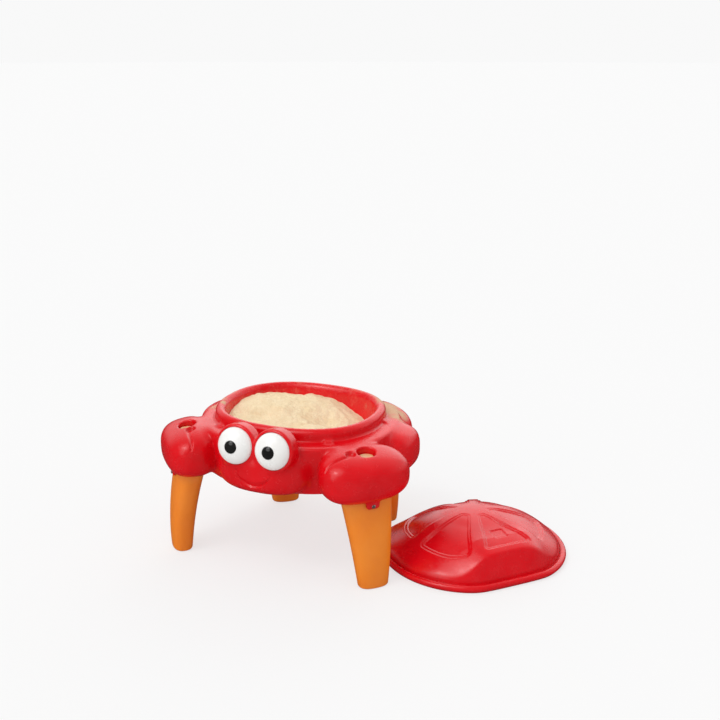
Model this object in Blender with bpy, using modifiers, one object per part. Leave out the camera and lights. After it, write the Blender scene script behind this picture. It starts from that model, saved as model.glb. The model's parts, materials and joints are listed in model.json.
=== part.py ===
# Crab-shaped sand table: a moulded basin on four legs, its sand, its eyes and its lift-off lid.
# Units are metres and +Z is up. The crab looks towards -Y, and the lid lies on the floor at +X.
import math

import bmesh
import bpy
import numpy as np
from mathutils import Matrix, Vector

# Fits: the gap that neighbours keep, and how far cutters run past a surface
GAP = 0.0003
OVERRUN = 0.02

# Roundness of the moulded forms: 2 is an ellipse, more is squarer
OVAL_SQUARENESS_SHARE = 2.3
PUFF_SQUARENESS_SHARE = 2.6
PUFF_SIDE_SQUARENESS_SHARE = 2.8
LEG_SQUARENESS_SHARE = 2.5
CORNER_SHARE = 0.3
CREASE_ANGLE = math.radians(38)

# Basin: an oval seen from above, inside a rounded rim
RIM_LENGTH = 0.498
RIM_DEPTH = 0.432
RIM_TOP = 0.431
RIM_WIDTH = 0.030
RIM_HEIGHT = 0.034
BASIN_FLOOR = 0.284
BASIN_DRAFT = 0.022
RIM_ROUND_SHARES = ((0.06, 0.30), (0.22, 0.08), (0.50, 0.0), (0.78, 0.08), (0.94, 0.30))

# Deck round the rim, and the hull below it
DECK_WIDTH = 0.044
DECK_EDGE_RADIUS = 0.010
DECK_FALL = 0.003
HULL_BOTTOM = 0.262
HULL_DRAFT = 0.020
HULL_CORNER = 0.014

# Claws at the front corners, each with a leg socket, a round dimple and a pincer groove
CLAW_X = 0.274
CLAW_Y = -0.186
CLAW_LENGTH = 0.272
CLAW_WIDTH = 0.150
CLAW_BOTTOM = 0.250
CLAW_TOP = 0.389
CLAW_ANGLE = math.radians(47)
CLAW_TILT_SHARE = 0.20
DIMPLE_DIAMETER = 0.034
DIMPLE_DEPTH = 0.016
DIMPLE_SET = 0.046
DIMPLE_FLARE_SHARES = (0.8, 1.35)
GROOVE_WIDTH = 0.012
GROOVE_END_SET = 0.132
GROOVE_DROP = 0.034
GROOVE_BEND_SHARE = 2.4

# Side and rear hips
SIDE_HIP_X = 0.263
SIDE_HIP_Y = 0.045
SIDE_HIP_LENGTH = 0.170
SIDE_HIP_WIDTH = 0.180
REAR_HIP_X = 0.175
REAR_HIP_Y = 0.200
REAR_HIP_LENGTH = 0.230
REAR_HIP_WIDTH = 0.155
REAR_HIP_ANGLE = math.radians(142)
SIDE_HIP_BOTTOM = 0.252
REAR_HIP_BOTTOM = 0.244
HIP_TOP = 0.386

# Head below the eyes
HEAD_WIDTH = 0.288
HEAD_DEPTH = 0.190
HEAD_Y = -0.212
HEAD_BOTTOM = 0.249
HEAD_TOP = 0.390
MOUTH_WIDTH = 0.088
MOUTH_HEIGHT = 0.272
MOUTH_RISE = 0.026
MOUTH_THICKNESS = 0.007

# Eyes: white domes with round pupils, under raised hoods
EYE_DIAMETER = 0.104
EYE_X = 0.057
EYE_Y = -0.288
EYE_HEIGHT = 0.395
EYE_TILT = math.radians(10)
EYE_BULGE = 0.036
EYE_LIP = 0.0036
EYE_STEM_DIAMETER = 0.030
EYE_STEM_LENGTH = 0.022
PUPIL_DIAMETER = 0.035
PUPIL_BULGE = 0.007
PUPIL_SET_SHARE = 0.3
PUPIL_STEM_DIAMETER = 0.012
PUPIL_STEM_LENGTH = 0.010
HOOD_WALL = 0.009
HOOD_LENGTH = 0.038
HOOD_LIP = 0.008
HOOD_ROUND_SHARE = 0.6

# Legs: flattened, bowed outwards, stepping down to a round boss in the claw
LEG_SET = 0.012
LEG_TOP_WIDTH = 0.146
LEG_TOP_THICKNESS = 0.083
LEG_FOOT_WIDTH = 0.086
LEG_FOOT_THICKNESS = 0.056
LEG_BOW = 0.030
LEG_SIDE_LEAN = 0.008
LEG_SHOULDER = 0.290
LEG_PLUG_WIDTH = 0.124
LEG_PLUG_THICKNESS = 0.068
LEG_BOSS_DIAMETER = 0.044
LEG_BOSS_RECESS = 0.012
LEG_HOLE_DIAMETER = 0.052
FOOT_RADIUS = 0.006
LEG_SWELL_SHARE = 0.7

# Screw tabs below the sockets, and their pan-head screws
TAB_WIDTH = 0.044
TAB_DROP = 0.014
TAB_WALL = 0.008
TAB_ROOT_SHARE = 2.5
SCREW_SET_SHARE = 0.30
TAB_ROUND_SHARE = 0.5
SCREW_DIAMETER = 0.005
SCREW_LENGTH = 0.024
SCREW_HEAD_DIAMETER = 0.012
SCREW_HEAD_HEIGHT = 0.0035
SCREW_HEAD_SHARES = ((0.0, 0.45), (0.14, 0.45), (0.35, 1.0), (0.7, 0.86), (1.0, 0.35))

# Sand in the basin, heaped to the left and back
SAND_EDGE = 0.394
SAND_HEAP = 0.030
SAND_HEAP_SHARES = (-0.22, 0.12, 0.30)
SAND_SCOOP_SHARES = (0.27, 0.10, 0.22)
SAND_SCOOP_DEPTH_SHARE = 1.3

# Lid: a shell that fits over the rim, with a rolled flange that rests on the deck
LID_CLEARANCE = 0.003
LID_WALL = 0.004
LID_HEIGHT = 0.130
LID_FLANGE_WIDTH = 0.015
LID_FLANGE_HEIGHT = 0.020
LID_FRONT_SET = 0.222
LID_X = 0.498
LID_Y = 0.122
LID_TURN = math.radians(47.5)
LID_SLOPE_SHARES = (2.4, 1.28)
LID_BROW_SHARES = (8.0, 0.80)
LID_BROW_HALF_WIDTH = 0.120
LID_BROW_REACH = 0.150

# Lugs on the deck that locate the lid
LUG_LENGTH = 0.030
LUG_WIDTH = 0.014
LUG_HEIGHT = 0.012
LUG_ROOT = 0.004
LUG_FALL_SHARE = 0.6
LUG_TAPER_SHARE = 0.7
LUG_ANGLES_SHARES = (0.021, 0.479, 0.858, 0.642)

# Mesh fineness
OVAL_STEPS = 52
PUFF_STEPS = 24
PUFF_RINGS = 14
LEG_STEPS = 20
LID_ROUNDS = 10
SAND_ROUNDS = 7
ROUND_STEPS = 28
SMALL_STEPS = 14

FLIP = Matrix.Diagonal((-1, 1, 1, 1))

RED = (0.62, 0.008, 0.018, 1)
ORANGE = (0.80, 0.20, 0.02, 1)
WHITE = (0.86, 0.86, 0.83, 1)
BLACK = (0.012, 0.012, 0.011, 1)
SAND = (0.80, 0.62, 0.38, 1)
STEEL = (0.62, 0.63, 0.65, 1)


def clear_scene():
    for item in list(bpy.data.objects):
        bpy.data.objects.remove(item)


def make_collection(name):
    collection = bpy.data.collections.new(name)
    bpy.context.scene.collection.children.link(collection)
    return collection


def make_material(name, colour, roughness, metallic=0.0):
    material = bpy.data.materials.new(name)
    material.use_nodes = True
    shader = material.node_tree.nodes["Principled BSDF"]
    shader.inputs["Base Color"].default_value = colour
    shader.inputs["Roughness"].default_value = roughness
    shader.inputs["Metallic"].default_value = metallic
    material.diffuse_color = colour
    return material


def add_object(name, bm, collection, material=None):
    mesh = bpy.data.meshes.new(name)
    bmesh.ops.recalc_face_normals(bm, faces=bm.faces)
    bm.to_mesh(mesh)
    bm.free()
    mesh.shade_smooth()
    mesh.set_sharp_from_angle(angle=CREASE_ANGLE)
    if material:
        mesh.materials.append(material)
    item = bpy.data.objects.new(name, mesh)
    collection.objects.link(item)
    return item


def power(value, exponent):
    return math.copysign(abs(value) ** exponent, value)


def oval_point(angle, length, depth, squareness=OVAL_SQUARENESS_SHARE):
    exponent = 2 / squareness
    across = length / 2 * power(math.cos(angle), exponent)
    return Vector((across, depth / 2 * power(math.sin(angle), exponent)))


def rim_outline(offset):
    """Points of the rim's outer oval, moved outwards by an offset."""
    angles = [math.tau * step / OVAL_STEPS for step in range(OVAL_STEPS)]
    points = [oval_point(angle, RIM_LENGTH, RIM_DEPTH) for angle in angles]
    moved = []
    for index, point in enumerate(points):
        along = points[(index + 1) % OVAL_STEPS] - points[index - 1]
        moved.append(point + offset * Vector((along.y, -along.x)).normalized())
    return moved


def loft(rings):
    """A closed skin through rings of points, each ring with as many points as the next."""
    bm = bmesh.new()
    loops = [[bm.verts.new(point) for point in ring] for ring in rings]
    for lower, upper in zip(loops, loops[1:]):
        for index in range(len(lower)):
            after = (index + 1) % len(lower)
            bm.faces.new((lower[index], lower[after], upper[after], upper[index]))
    bm.faces.new(loops[0])
    bm.faces.new(loops[-1])
    return bm


def oval_loft(profile):
    """A skin round the basin's oval, from (offset from the rim's outer side, height) pairs."""
    return loft([level_ring(rim_outline(offset), height) for offset, height in profile])


def level_ring(points, height):
    return [(point.x, point.y, height) for point in points]


def puff(length, width, bottom, top):
    """A swollen moulded form: a sphere drawn towards a box, standing between two heights."""
    bm = bmesh.new()
    bmesh.ops.create_uvsphere(bm, u_segments=PUFF_STEPS, v_segments=PUFF_RINGS, radius=1)
    plan = 2 / PUFF_SQUARENESS_SHARE
    side = 2 / PUFF_SIDE_SQUARENESS_SHARE
    for vert in bm.verts:
        level = math.asin(max(-1, min(1, vert.co.z)))
        turn = math.atan2(vert.co.y, vert.co.x)
        reach = math.cos(level) ** side
        vert.co.x = length / 2 * reach * power(math.cos(turn), plan)
        vert.co.y = width / 2 * reach * power(math.sin(turn), plan)
        vert.co.z = (top + bottom) / 2 + (top - bottom) / 2 * power(math.sin(level), side)
    return bm


def cylinder(diameter, low, high, steps=ROUND_STEPS, top_diameter=None):
    """A round rod along +Z between two heights."""
    bm = bmesh.new()
    bmesh.ops.create_cone(
        bm, cap_ends=True, segments=steps, radius1=diameter / 2,
        radius2=(top_diameter or diameter) / 2, depth=high - low)
    bmesh.ops.translate(bm, verts=bm.verts, vec=(0, 0, (high + low) / 2))
    return bm


def box(size, middle):
    bm = bmesh.new()
    sides = Matrix.Diagonal((*size, 1))
    bmesh.ops.create_cube(bm, size=1, matrix=Matrix.Translation(middle) @ sides)
    return bm


def place(bm, x, y, turn=0.0):
    spot = Matrix.Translation((x, y, 0)) @ Matrix.Rotation(turn, 4, "Z")
    bmesh.ops.transform(bm, matrix=spot, verts=bm.verts)
    return bm


def mirrored(bm, side):
    """The same form at the crab's other side, where side is -1 or 1."""
    if side < 0:
        bmesh.ops.transform(bm, matrix=FLIP, verts=bm.verts)
    return bm


def tube(name, points, diameter, collection):
    """A round bar along a run of points, as a closed mesh."""
    curve = bpy.data.curves.new(name, "CURVE")
    curve.dimensions = "3D"
    curve.bevel_depth = diameter / 2
    curve.bevel_resolution = 2
    curve.use_fill_caps = True
    spline = curve.splines.new("POLY")
    spline.points.add(len(points) - 1)
    for target, point in zip(spline.points, points):
        target.co = (*point, 1)
    guide = bpy.data.objects.new(name, curve)
    collection.objects.link(guide)
    graph = bpy.context.evaluated_depsgraph_get()
    mesh = bpy.data.meshes.new_from_object(guide.evaluated_get(graph))
    bpy.data.objects.remove(guide)
    bm = bmesh.new()
    bm.from_mesh(mesh)
    bpy.data.meshes.remove(mesh)
    bmesh.ops.remove_doubles(bm, verts=bm.verts, dist=GAP / 3)
    return bm


def turned(name, profile, collection, material, steps=ROUND_STEPS):
    """A turned piece: a profile of (radius, height), top to bottom, swept round its own Z axis."""
    mesh = bpy.data.meshes.new(name)
    points = [(radius, 0, height) for radius, height in profile]
    mesh.from_pydata(points, [(index, index + 1) for index in range(len(points) - 1)], [])
    item = bpy.data.objects.new(name, mesh)
    collection.objects.link(item)
    screw = item.modifiers.new("Turn", "SCREW")
    screw.steps = steps
    screw.render_steps = steps
    screw.use_merge_vertices = True
    screw.merge_threshold = GAP / 6
    screw.use_smooth_shade = True
    mesh.materials.append(material)
    return item


# Table body

def deck_height():
    return RIM_TOP - RIM_HEIGHT


def hull():
    """The hull, the deck and the rim as one skin, closed under the basin."""
    edge = DECK_EDGE_RADIUS
    side = DECK_WIDTH - HULL_DRAFT
    shoulder = deck_height() - DECK_FALL
    corner = HULL_CORNER * CORNER_SHARE
    profile = [
        (HULL_CORNER - DECK_WIDTH, HULL_BOTTOM),
        (side - HULL_CORNER, HULL_BOTTOM),
        (side - corner, HULL_BOTTOM + corner),
        (side, HULL_BOTTOM + HULL_CORNER),
        (DECK_WIDTH, shoulder - edge),
        (DECK_WIDTH - edge * CORNER_SHARE, shoulder - edge * CORNER_SHARE),
        (DECK_WIDTH - edge, shoulder),
        (0, deck_height()),
    ]
    profile += [(-RIM_WIDTH * inward, RIM_TOP - RIM_WIDTH * below) for inward, below in RIM_ROUND_SHARES]
    return oval_loft(profile)


def basin_profile(clearance=0.0):
    wall = -RIM_WIDTH - clearance
    return [
        (wall - BASIN_DRAFT - HULL_CORNER, BASIN_FLOOR + clearance),
        (wall - BASIN_DRAFT, BASIN_FLOOR + HULL_CORNER),
        (wall, RIM_TOP - RIM_WIDTH * CORNER_SHARE),
    ]


def basin_cutter():
    low, side, high = basin_profile()
    return oval_loft([low, side, high, (high[0], RIM_TOP + OVERRUN)])


def claw():
    """A claw whose top leans outwards, away from the basin."""
    form = puff(CLAW_LENGTH, CLAW_WIDTH, CLAW_BOTTOM, CLAW_TOP)
    middle = (CLAW_TOP + CLAW_BOTTOM) / 2
    for vert in form.verts:
        rise = max(0, (vert.co.z - middle) / (CLAW_TOP - middle))
        vert.co.z += CLAW_TILT_SHARE * vert.co.y * rise
    return place(form, CLAW_X, CLAW_Y, CLAW_ANGLE)


def side_hip():
    form = puff(SIDE_HIP_LENGTH, SIDE_HIP_WIDTH, SIDE_HIP_BOTTOM, HIP_TOP)
    return place(form, SIDE_HIP_X, SIDE_HIP_Y)


def rear_hip():
    form = puff(REAR_HIP_LENGTH, REAR_HIP_WIDTH, REAR_HIP_BOTTOM, HIP_TOP)
    return place(form, REAR_HIP_X, REAR_HIP_Y, REAR_HIP_ANGLE)


def head():
    return place(puff(HEAD_WIDTH, HEAD_DEPTH, HEAD_BOTTOM, HEAD_TOP), 0, HEAD_Y)


def head_front(x, z):
    """How far forward the head's skin lies at a width and a height."""
    height = (HEAD_TOP - HEAD_BOTTOM) / 2
    level = abs(z - HEAD_BOTTOM - height) / height
    plan = PUFF_SQUARENESS_SHARE
    side = PUFF_SIDE_SQUARENESS_SHARE
    ring = (1 - level ** side) ** (plan / side) - abs(2 * x / HEAD_WIDTH) ** plan
    return HEAD_Y - HEAD_DEPTH / 2 * max(0, ring) ** (1 / plan)


def mouth():
    """The line of the smile along the head's skin."""
    points = []
    for step in range(13):
        share = step / 6 - 1
        x = share * MOUTH_WIDTH / 2
        z = MOUTH_HEIGHT + MOUTH_RISE * share ** 2
        points.append((x, head_front(x, z), z))
    return points


def eye_frame(side):
    """The eye's own axes: its local +Z looks out along the dome's middle."""
    turn = Matrix.Rotation(math.pi / 2 - EYE_TILT, 4, "X")
    return Matrix.Translation((side * EYE_X, EYE_Y, EYE_HEIGHT)) @ turn


def in_eye_frame(bm, side):
    bmesh.ops.transform(bm, matrix=eye_frame(side), verts=bm.verts)
    return bm


def hood(side):
    """A raised red ring round the eye, rounded at its front and back edges."""
    bm = cylinder(EYE_DIAMETER + 2 * HOOD_WALL, -HOOD_LENGTH, HOOD_LIP)
    rims = [edge for edge in bm.edges if abs(edge.verts[0].co.z - edge.verts[1].co.z) < GAP]
    bmesh.ops.bevel(
        bm, geom=rims, offset=HOOD_WALL * HOOD_ROUND_SHARE, segments=3, affect="EDGES", profile=0.5)
    return in_eye_frame(bm, side)


def eye_seat(side):
    seat = cylinder(EYE_DIAMETER + 4 * GAP, -GAP, EYE_BULGE + OVERRUN)
    return in_eye_frame(seat, side)


def eye_bore(side):
    bore = cylinder(EYE_STEM_DIAMETER + 2 * GAP, -EYE_STEM_LENGTH - GAP, GAP)
    return in_eye_frame(bore, side)


def claw_socket():
    """Where a leg stands under a claw."""
    return CLAW_X + LEG_SET * math.cos(CLAW_ANGLE), CLAW_Y + LEG_SET * math.sin(CLAW_ANGLE)


def rear_socket():
    """Where a leg stands under a rear hip."""
    return REAR_HIP_X + LEG_SET * math.cos(REAR_HIP_ANGLE), REAR_HIP_Y + LEG_SET * math.sin(REAR_HIP_ANGLE)


def socket_places():
    """Where the legs stand: name, x, y, turn and side."""
    for side, word in ((-1, "left"), (1, "right")):
        yield "front_" + word, *claw_socket(), CLAW_ANGLE, side
        yield "rear_" + word, *rear_socket(), REAR_HIP_ANGLE, side


def leg_middle(height):
    """Where the middle of the leg's section lies at a height, in the leg's own axes."""
    share = min(1, height / CLAW_BOTTOM)
    return LEG_SIDE_LEAN * (1 - share), -LEG_BOW * (1 - share ** 2)


def leg_section(height, clearance=0.0):
    share = min(1, height / CLAW_BOTTOM)
    width = LEG_FOOT_WIDTH + (LEG_TOP_WIDTH - LEG_FOOT_WIDTH) * share
    thickness = LEG_FOOT_THICKNESS + (LEG_TOP_THICKNESS - LEG_FOOT_THICKNESS) * share ** LEG_SWELL_SHARE
    if height > CLAW_BOTTOM:
        rise = (height - CLAW_BOTTOM) / (LEG_SHOULDER - CLAW_BOTTOM)
        width += (LEG_PLUG_WIDTH - LEG_TOP_WIDTH) * rise
        thickness += (LEG_PLUG_THICKNESS - LEG_TOP_THICKNESS) * rise
    return width + 2 * clearance, thickness + 2 * clearance


def leg_ring(height, inset=0.0, clearance=0.0):
    width, thickness = leg_section(height, clearance)
    x, y = leg_middle(height)
    ring = []
    for step in range(LEG_STEPS):
        angle = math.tau * (step + 0.5) / LEG_STEPS
        point = oval_point(angle, width - 2 * inset, thickness - 2 * inset, LEG_SQUARENESS_SHARE)
        ring.append((x + point.x, y + point.y, height))
    return ring


def boss_ring(diameter, height):
    angles = [math.tau * (step + 0.5) / LEG_STEPS for step in range(LEG_STEPS)]
    radius = diameter / 2
    return [(radius * math.cos(angle), radius * math.sin(angle), height) for angle in angles]


def leg_form(top, clearance=0.0):
    """The leg as one skin, from its foot to the top of the boss inside the claw."""
    edge = FOOT_RADIUS
    rings = [leg_ring(0, edge, clearance)]
    corner = edge * CORNER_SHARE
    rings += [leg_ring(corner, corner, clearance), leg_ring(edge, 0, clearance)]
    for step in range(1, 7):
        rings.append(leg_ring(edge + (CLAW_BOTTOM - edge) * step / 6, 0, clearance))
    rings.append(leg_ring(LEG_SHOULDER - edge, 0, clearance))
    rings.append([(x, y, z + clearance) for x, y, z in leg_ring(LEG_SHOULDER, edge, clearance)])
    boss = LEG_BOSS_DIAMETER + 2 * clearance
    rings.append(boss_ring(boss, LEG_SHOULDER + edge / 2 + clearance))
    rings.append(boss_ring(boss, top - edge / 3))
    rings.append(boss_ring(boss - edge, top))
    return loft(rings)


def boss_top():
    return min(CLAW_TOP, HIP_TOP) - LEG_BOSS_RECESS


def leg_hole():
    """The round opening in a claw's top, down to the leg's boss."""
    return cylinder(LEG_HOLE_DIAMETER, boss_top() - LEG_BOSS_RECESS, CLAW_TOP + OVERRUN)


def screw_height():
    return CLAW_BOTTOM - TAB_DROP * SCREW_SET_SHARE


def screw_seat():
    """How far out from the socket's middle the tab's outer face lies."""
    height = screw_height()
    return leg_section(height)[1] / 2 - leg_middle(height)[1] + 2 * GAP + TAB_WALL


def tab():
    outer = -screw_seat()
    inner = outer + TAB_WALL * TAB_ROOT_SHARE
    top = CLAW_BOTTOM + OVERRUN * TAB_ROOT_SHARE / 2
    low = CLAW_BOTTOM - TAB_DROP
    bm = box((TAB_WIDTH, inner - outer, top - low), (0, (outer + inner) / 2, (top + low) / 2))
    corners = [edge for edge in bm.edges if all(vert.co.z < CLAW_BOTTOM for vert in edge.verts)
               and abs(edge.verts[0].co.y - edge.verts[1].co.y) > GAP]
    bmesh.ops.bevel(
        bm, geom=corners, offset=TAB_DROP * TAB_ROUND_SHARE, segments=4, affect="EDGES", profile=0.5)
    return bm


def screw_bore(diameter):
    """A bore along the leg's outward axis, through the tab and into the leg."""
    reach = screw_seat()
    bm = cylinder(diameter, -OVERRUN, SCREW_LENGTH + GAP, SMALL_STEPS)
    turn = Matrix.Translation((0, -reach, screw_height())) @ Matrix.Rotation(-math.pi / 2, 4, "X")
    bmesh.ops.transform(bm, matrix=turn, verts=bm.verts)
    return bm


def dimple():
    low, high = (DIMPLE_DIAMETER * share for share in DIMPLE_FLARE_SHARES)
    bm = cylinder(low, CLAW_TOP - DIMPLE_DEPTH, CLAW_TOP + OVERRUN, ROUND_STEPS, high)
    return place(bm, -DIMPLE_SET, 0)


def groove_points():
    points = []
    for step in range(9):
        share = step / 8
        along = DIMPLE_SET + (GROOVE_END_SET - DIMPLE_SET) * share
        points.append((-along, 0, CLAW_TOP - GROOVE_DROP * share ** GROOVE_BEND_SHARE))
    return points


def lug(angle):
    """A wedge on the deck against the rim."""
    spot = oval_point(angle, RIM_LENGTH, RIM_DEPTH)
    ahead = oval_point(angle + CREASE_ANGLE / 60, RIM_LENGTH, RIM_DEPTH) - spot
    deck = deck_height()
    size = (LUG_LENGTH, LUG_WIDTH * 2, LUG_HEIGHT + LUG_ROOT)
    bm = box(size, (0, 0, deck + (LUG_HEIGHT - LUG_ROOT) / 2))
    for vert in bm.verts:
        if vert.co.z > deck and vert.co.y < 0:
            vert.co.z -= LUG_HEIGHT * LUG_FALL_SHARE
            vert.co.x *= LUG_TAPER_SHARE
    bmesh.ops.triangulate(bm, faces=bm.faces)
    return place(bm, spot.x, spot.y, math.atan2(ahead.y, ahead.x))


def make_body(parts, cutters, material):
    """The hull with the moulded forms joined on, then the basin, seats and sockets cut."""
    body = add_object("table_body", hull(), parts, material)
    forms = [("head", head())]
    cuts = [("basin", basin_cutter())]
    for side, word in ((-1, "left"), (1, "right")):
        forms.append(("claw_" + word, mirrored(claw(), side)))
        forms.append(("side_hip_" + word, mirrored(side_hip(), side)))
        forms.append(("rear_hip_" + word, mirrored(rear_hip(), side)))
        forms.append(("hood_" + word, hood(side)))
        cuts.append(("eye_seat_" + word, eye_seat(side)))
        cuts.append(("eye_bore_" + word, eye_bore(side)))
        cuts.append(("dimple_" + word, mirrored(place(dimple(), CLAW_X, CLAW_Y, CLAW_ANGLE), side)))
        groove = tube("groove", groove_points(), GROOVE_WIDTH, cutters)
        cuts.append(("groove_" + word, mirrored(place(groove, CLAW_X, CLAW_Y, CLAW_ANGLE), side)))
        cuts.append(("leg_hole_" + word, mirrored(place(leg_hole(), *claw_socket(), CLAW_ANGLE), side)))
    for share in LUG_ANGLES_SHARES:
        forms.append(("lug", lug(math.tau * share)))
    for name, x, y, turn, side in socket_places():
        forms.append(("tab_" + name, mirrored(place(tab(), x, y, turn), side)))
        socket = leg_form(boss_top() + GAP, 2 * GAP)
        bore = screw_bore(SCREW_DIAMETER + 2 * GAP)
        cuts.append(("socket_" + name, mirrored(place(socket, x, y, turn), side)))
        cuts.append(("screw_hole_" + name, mirrored(place(bore, x, y, turn), side)))
    cuts.append(("mouth", tube("mouth", mouth(), MOUTH_THICKNESS, cutters)))
    for operation, shapes in (("UNION", forms), ("DIFFERENCE", cuts)):
        for name, bm in shapes:
            shape = add_object("form_" + name if operation == "UNION" else "cut_" + name, bm, cutters)
            shape.hide_render = True
            shape.display_type = "WIRE"
            step = body.modifiers.new(name, "BOOLEAN")
            step.operation = operation
            step.solver = "EXACT"
            step.object = shape
    return body


# Eyes

def make_eye(side, word, parts, white, black):
    """A white dome on a stem, with its pupil seated in the dome's middle."""
    radius = EYE_DIAMETER / 2
    seat = PUPIL_DIAMETER / 2 + 2 * GAP
    seat_height = EYE_BULGE * math.sqrt(1 - (seat / radius) ** 2)
    floor = seat_height - PUPIL_BULGE * PUPIL_SET_SHARE
    bore = PUPIL_STEM_DIAMETER / 2 + GAP
    bore_floor = floor - PUPIL_STEM_LENGTH - GAP
    profile = [(0, bore_floor), (bore, bore_floor), (bore, floor), (seat, floor), (seat, seat_height)]
    steps = 7
    start = math.asin(seat / radius)
    for step in range(1, steps + 1):
        angle = start + (math.pi / 2 - start) * step / steps
        profile.append((radius * math.sin(angle), EYE_LIP + (EYE_BULGE - EYE_LIP) * math.cos(angle)))
    stem = EYE_STEM_DIAMETER / 2
    profile += [(radius, 0), (stem, 0), (stem, -EYE_STEM_LENGTH), (0, -EYE_STEM_LENGTH)]
    eye = turned("eye_" + word, profile, parts, white)
    eye.matrix_world = eye_frame(side)

    edge = PUPIL_DIAMETER / 2
    base = floor + GAP
    low = PUPIL_BULGE * PUPIL_SET_SHARE
    dome = []
    for step in range(5):
        angle = math.pi / 2 * step / 4
        dome.append((edge * math.sin(angle), base + low + (PUPIL_BULGE - low) * math.cos(angle)))
    stem = PUPIL_STEM_DIAMETER / 2
    dome += [(edge, base), (stem, base), (stem, base - PUPIL_STEM_LENGTH), (0, base - PUPIL_STEM_LENGTH)]
    pupil = turned("pupil_" + word, dome, parts, black)
    pupil.matrix_world = eye_frame(side)
    return eye, pupil


# Legs and their screws

def make_leg(name, x, y, turn, side, parts, cutters, orange):
    form = mirrored(place(leg_form(boss_top()), x, y, turn), side)
    leg = add_object("leg_" + name, form, parts, orange)
    bore = mirrored(place(screw_bore(SCREW_DIAMETER + 2 * GAP), x, y, turn), side)
    cut = add_object("cut_leg_bore_" + name, bore, cutters)
    cut.hide_render = True
    cut.display_type = "WIRE"
    step = leg.modifiers.new("Screw bore", "BOOLEAN")
    step.operation = "DIFFERENCE"
    step.solver = "EXACT"
    step.object = cut
    return leg


def make_screw(name, x, y, turn, side, parts, steel):
    head = SCREW_HEAD_DIAMETER / 2
    shank = SCREW_DIAMETER / 2
    profile = [(head * across, SCREW_HEAD_HEIGHT * up) for across, up in SCREW_HEAD_SHARES]
    profile += [(head, GAP), (shank, GAP), (shank, shank - SCREW_LENGTH), (0, -SCREW_LENGTH)]
    screw = turned("leg_screw_" + name, profile, parts, steel, SMALL_STEPS)
    local = Matrix.Translation((0, -screw_seat(), screw_height())) @ Matrix.Rotation(math.pi / 2, 4, "X")
    spot = Matrix.Translation((x, y, 0)) @ Matrix.Rotation(turn, 4, "Z") @ local
    if side < 0:
        spot = FLIP @ spot @ FLIP
    screw.matrix_world = spot
    return screw


# Sand

def mound(x, y, shares):
    """A smooth hump of height 1 at a place in the basin."""
    across, back, reach = shares
    away = (x - RIM_LENGTH * across) ** 2 + (y - RIM_DEPTH * back) ** 2
    return math.exp(-away / (RIM_DEPTH * reach) ** 2)


def sand_height(x, y):
    """The sand's top: heaped to the left and back, scooped away at the right."""
    scoop = SAND_SCOOP_DEPTH_SHARE * mound(x, y, SAND_SCOOP_SHARES)
    return SAND_EDGE + SAND_HEAP * (mound(x, y, SAND_HEAP_SHARES) - scoop)


def make_sand(parts, material):
    low, side, high = basin_profile(2 * GAP)
    share = (SAND_EDGE - side[1]) / (high[1] - side[1])
    outer = side[0] + (high[0] - side[0]) * share
    edge = rim_outline(outer - GAP)
    rings = [level_ring(rim_outline(low[0]), low[1]), level_ring(rim_outline(side[0]), side[1])]
    rings.append(level_ring(edge, SAND_EDGE))
    for ring in range(1, SAND_ROUNDS):
        scale = 1 - ring / SAND_ROUNDS
        blend = min(1, ring / 2)
        points = [point * scale for point in edge]
        rings.append([(point.x, point.y, SAND_EDGE + blend * (sand_height(point.x, point.y) - SAND_EDGE))
                      for point in points])
    return add_object("sand_fill", loft(rings), parts, material)


# Lid

def soft_floor(value, floor, softness):
    """The larger of two values, with a rounded corner between them."""
    return (value + floor + math.sqrt((value - floor) ** 2 + softness ** 2)) / 2


def lid_outline(offset, scale=1.0, front=0.0):
    """The rim's oval moved outwards and scaled, with a flatter front."""
    points = []
    for point in rim_outline(offset):
        y = soft_floor(point.y * scale, -LID_FRONT_SET - front, LID_WALL * 3)
        points.append(Vector((point.x * scale, y)))
    return points


def lid_height(point, reach, base):
    """The dome's height: a cone with a rounded top, and a fuller brow over the crab's eyes."""
    brow = math.exp(-(point.x / LID_BROW_HALF_WIDTH) ** 4) * max(0, min(1, -point.y / LID_BROW_REACH)) ** 2
    slope, round_off = (plain + (full - plain) * brow
                        for plain, full in zip(LID_SLOPE_SHARES, LID_BROW_SHARES))
    return base + (LID_HEIGHT - base) * (1 - reach ** slope) ** round_off


def make_lid(parts, material):
    wall = LID_CLEARANCE + LID_WALL
    flange = wall + LID_FLANGE_WIDTH
    edge = LID_FLANGE_HEIGHT * CORNER_SHARE
    corner = edge * CORNER_SHARE
    base = LID_FLANGE_HEIGHT + edge * 2
    skirt = [
        (flange, 0),
        (flange, LID_FLANGE_HEIGHT - edge),
        (flange - corner, LID_FLANGE_HEIGHT - corner),
        (flange - edge, LID_FLANGE_HEIGHT),
        (wall, LID_FLANGE_HEIGHT + corner),
        (wall, base),
    ]
    rings = [level_ring(lid_outline(offset, front=offset - wall), height) for offset, height in skirt]
    for step in range(1, LID_ROUNDS):
        reach = math.cos(math.pi / 2 * step / LID_ROUNDS)
        outline = lid_outline(wall, reach)
        rings.append([(point.x, point.y, lid_height(point, reach, base)) for point in outline])
    bm = loft(rings)
    floor = [face for face in bm.faces if all(vert.co.z < GAP for vert in face.verts)]
    bmesh.ops.delete(bm, geom=floor, context="FACES_ONLY")
    lid = add_object("lid", bm, parts, material)
    shell = lid.modifiers.new("Wall", "SOLIDIFY")
    shell.thickness = LID_WALL
    shell.offset = -1
    shell.use_even_offset = True
    lid.matrix_world = Matrix.Translation((LID_X, LID_Y, 0)) @ Matrix.Rotation(LID_TURN, 4, "Z")
    return lid


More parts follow.
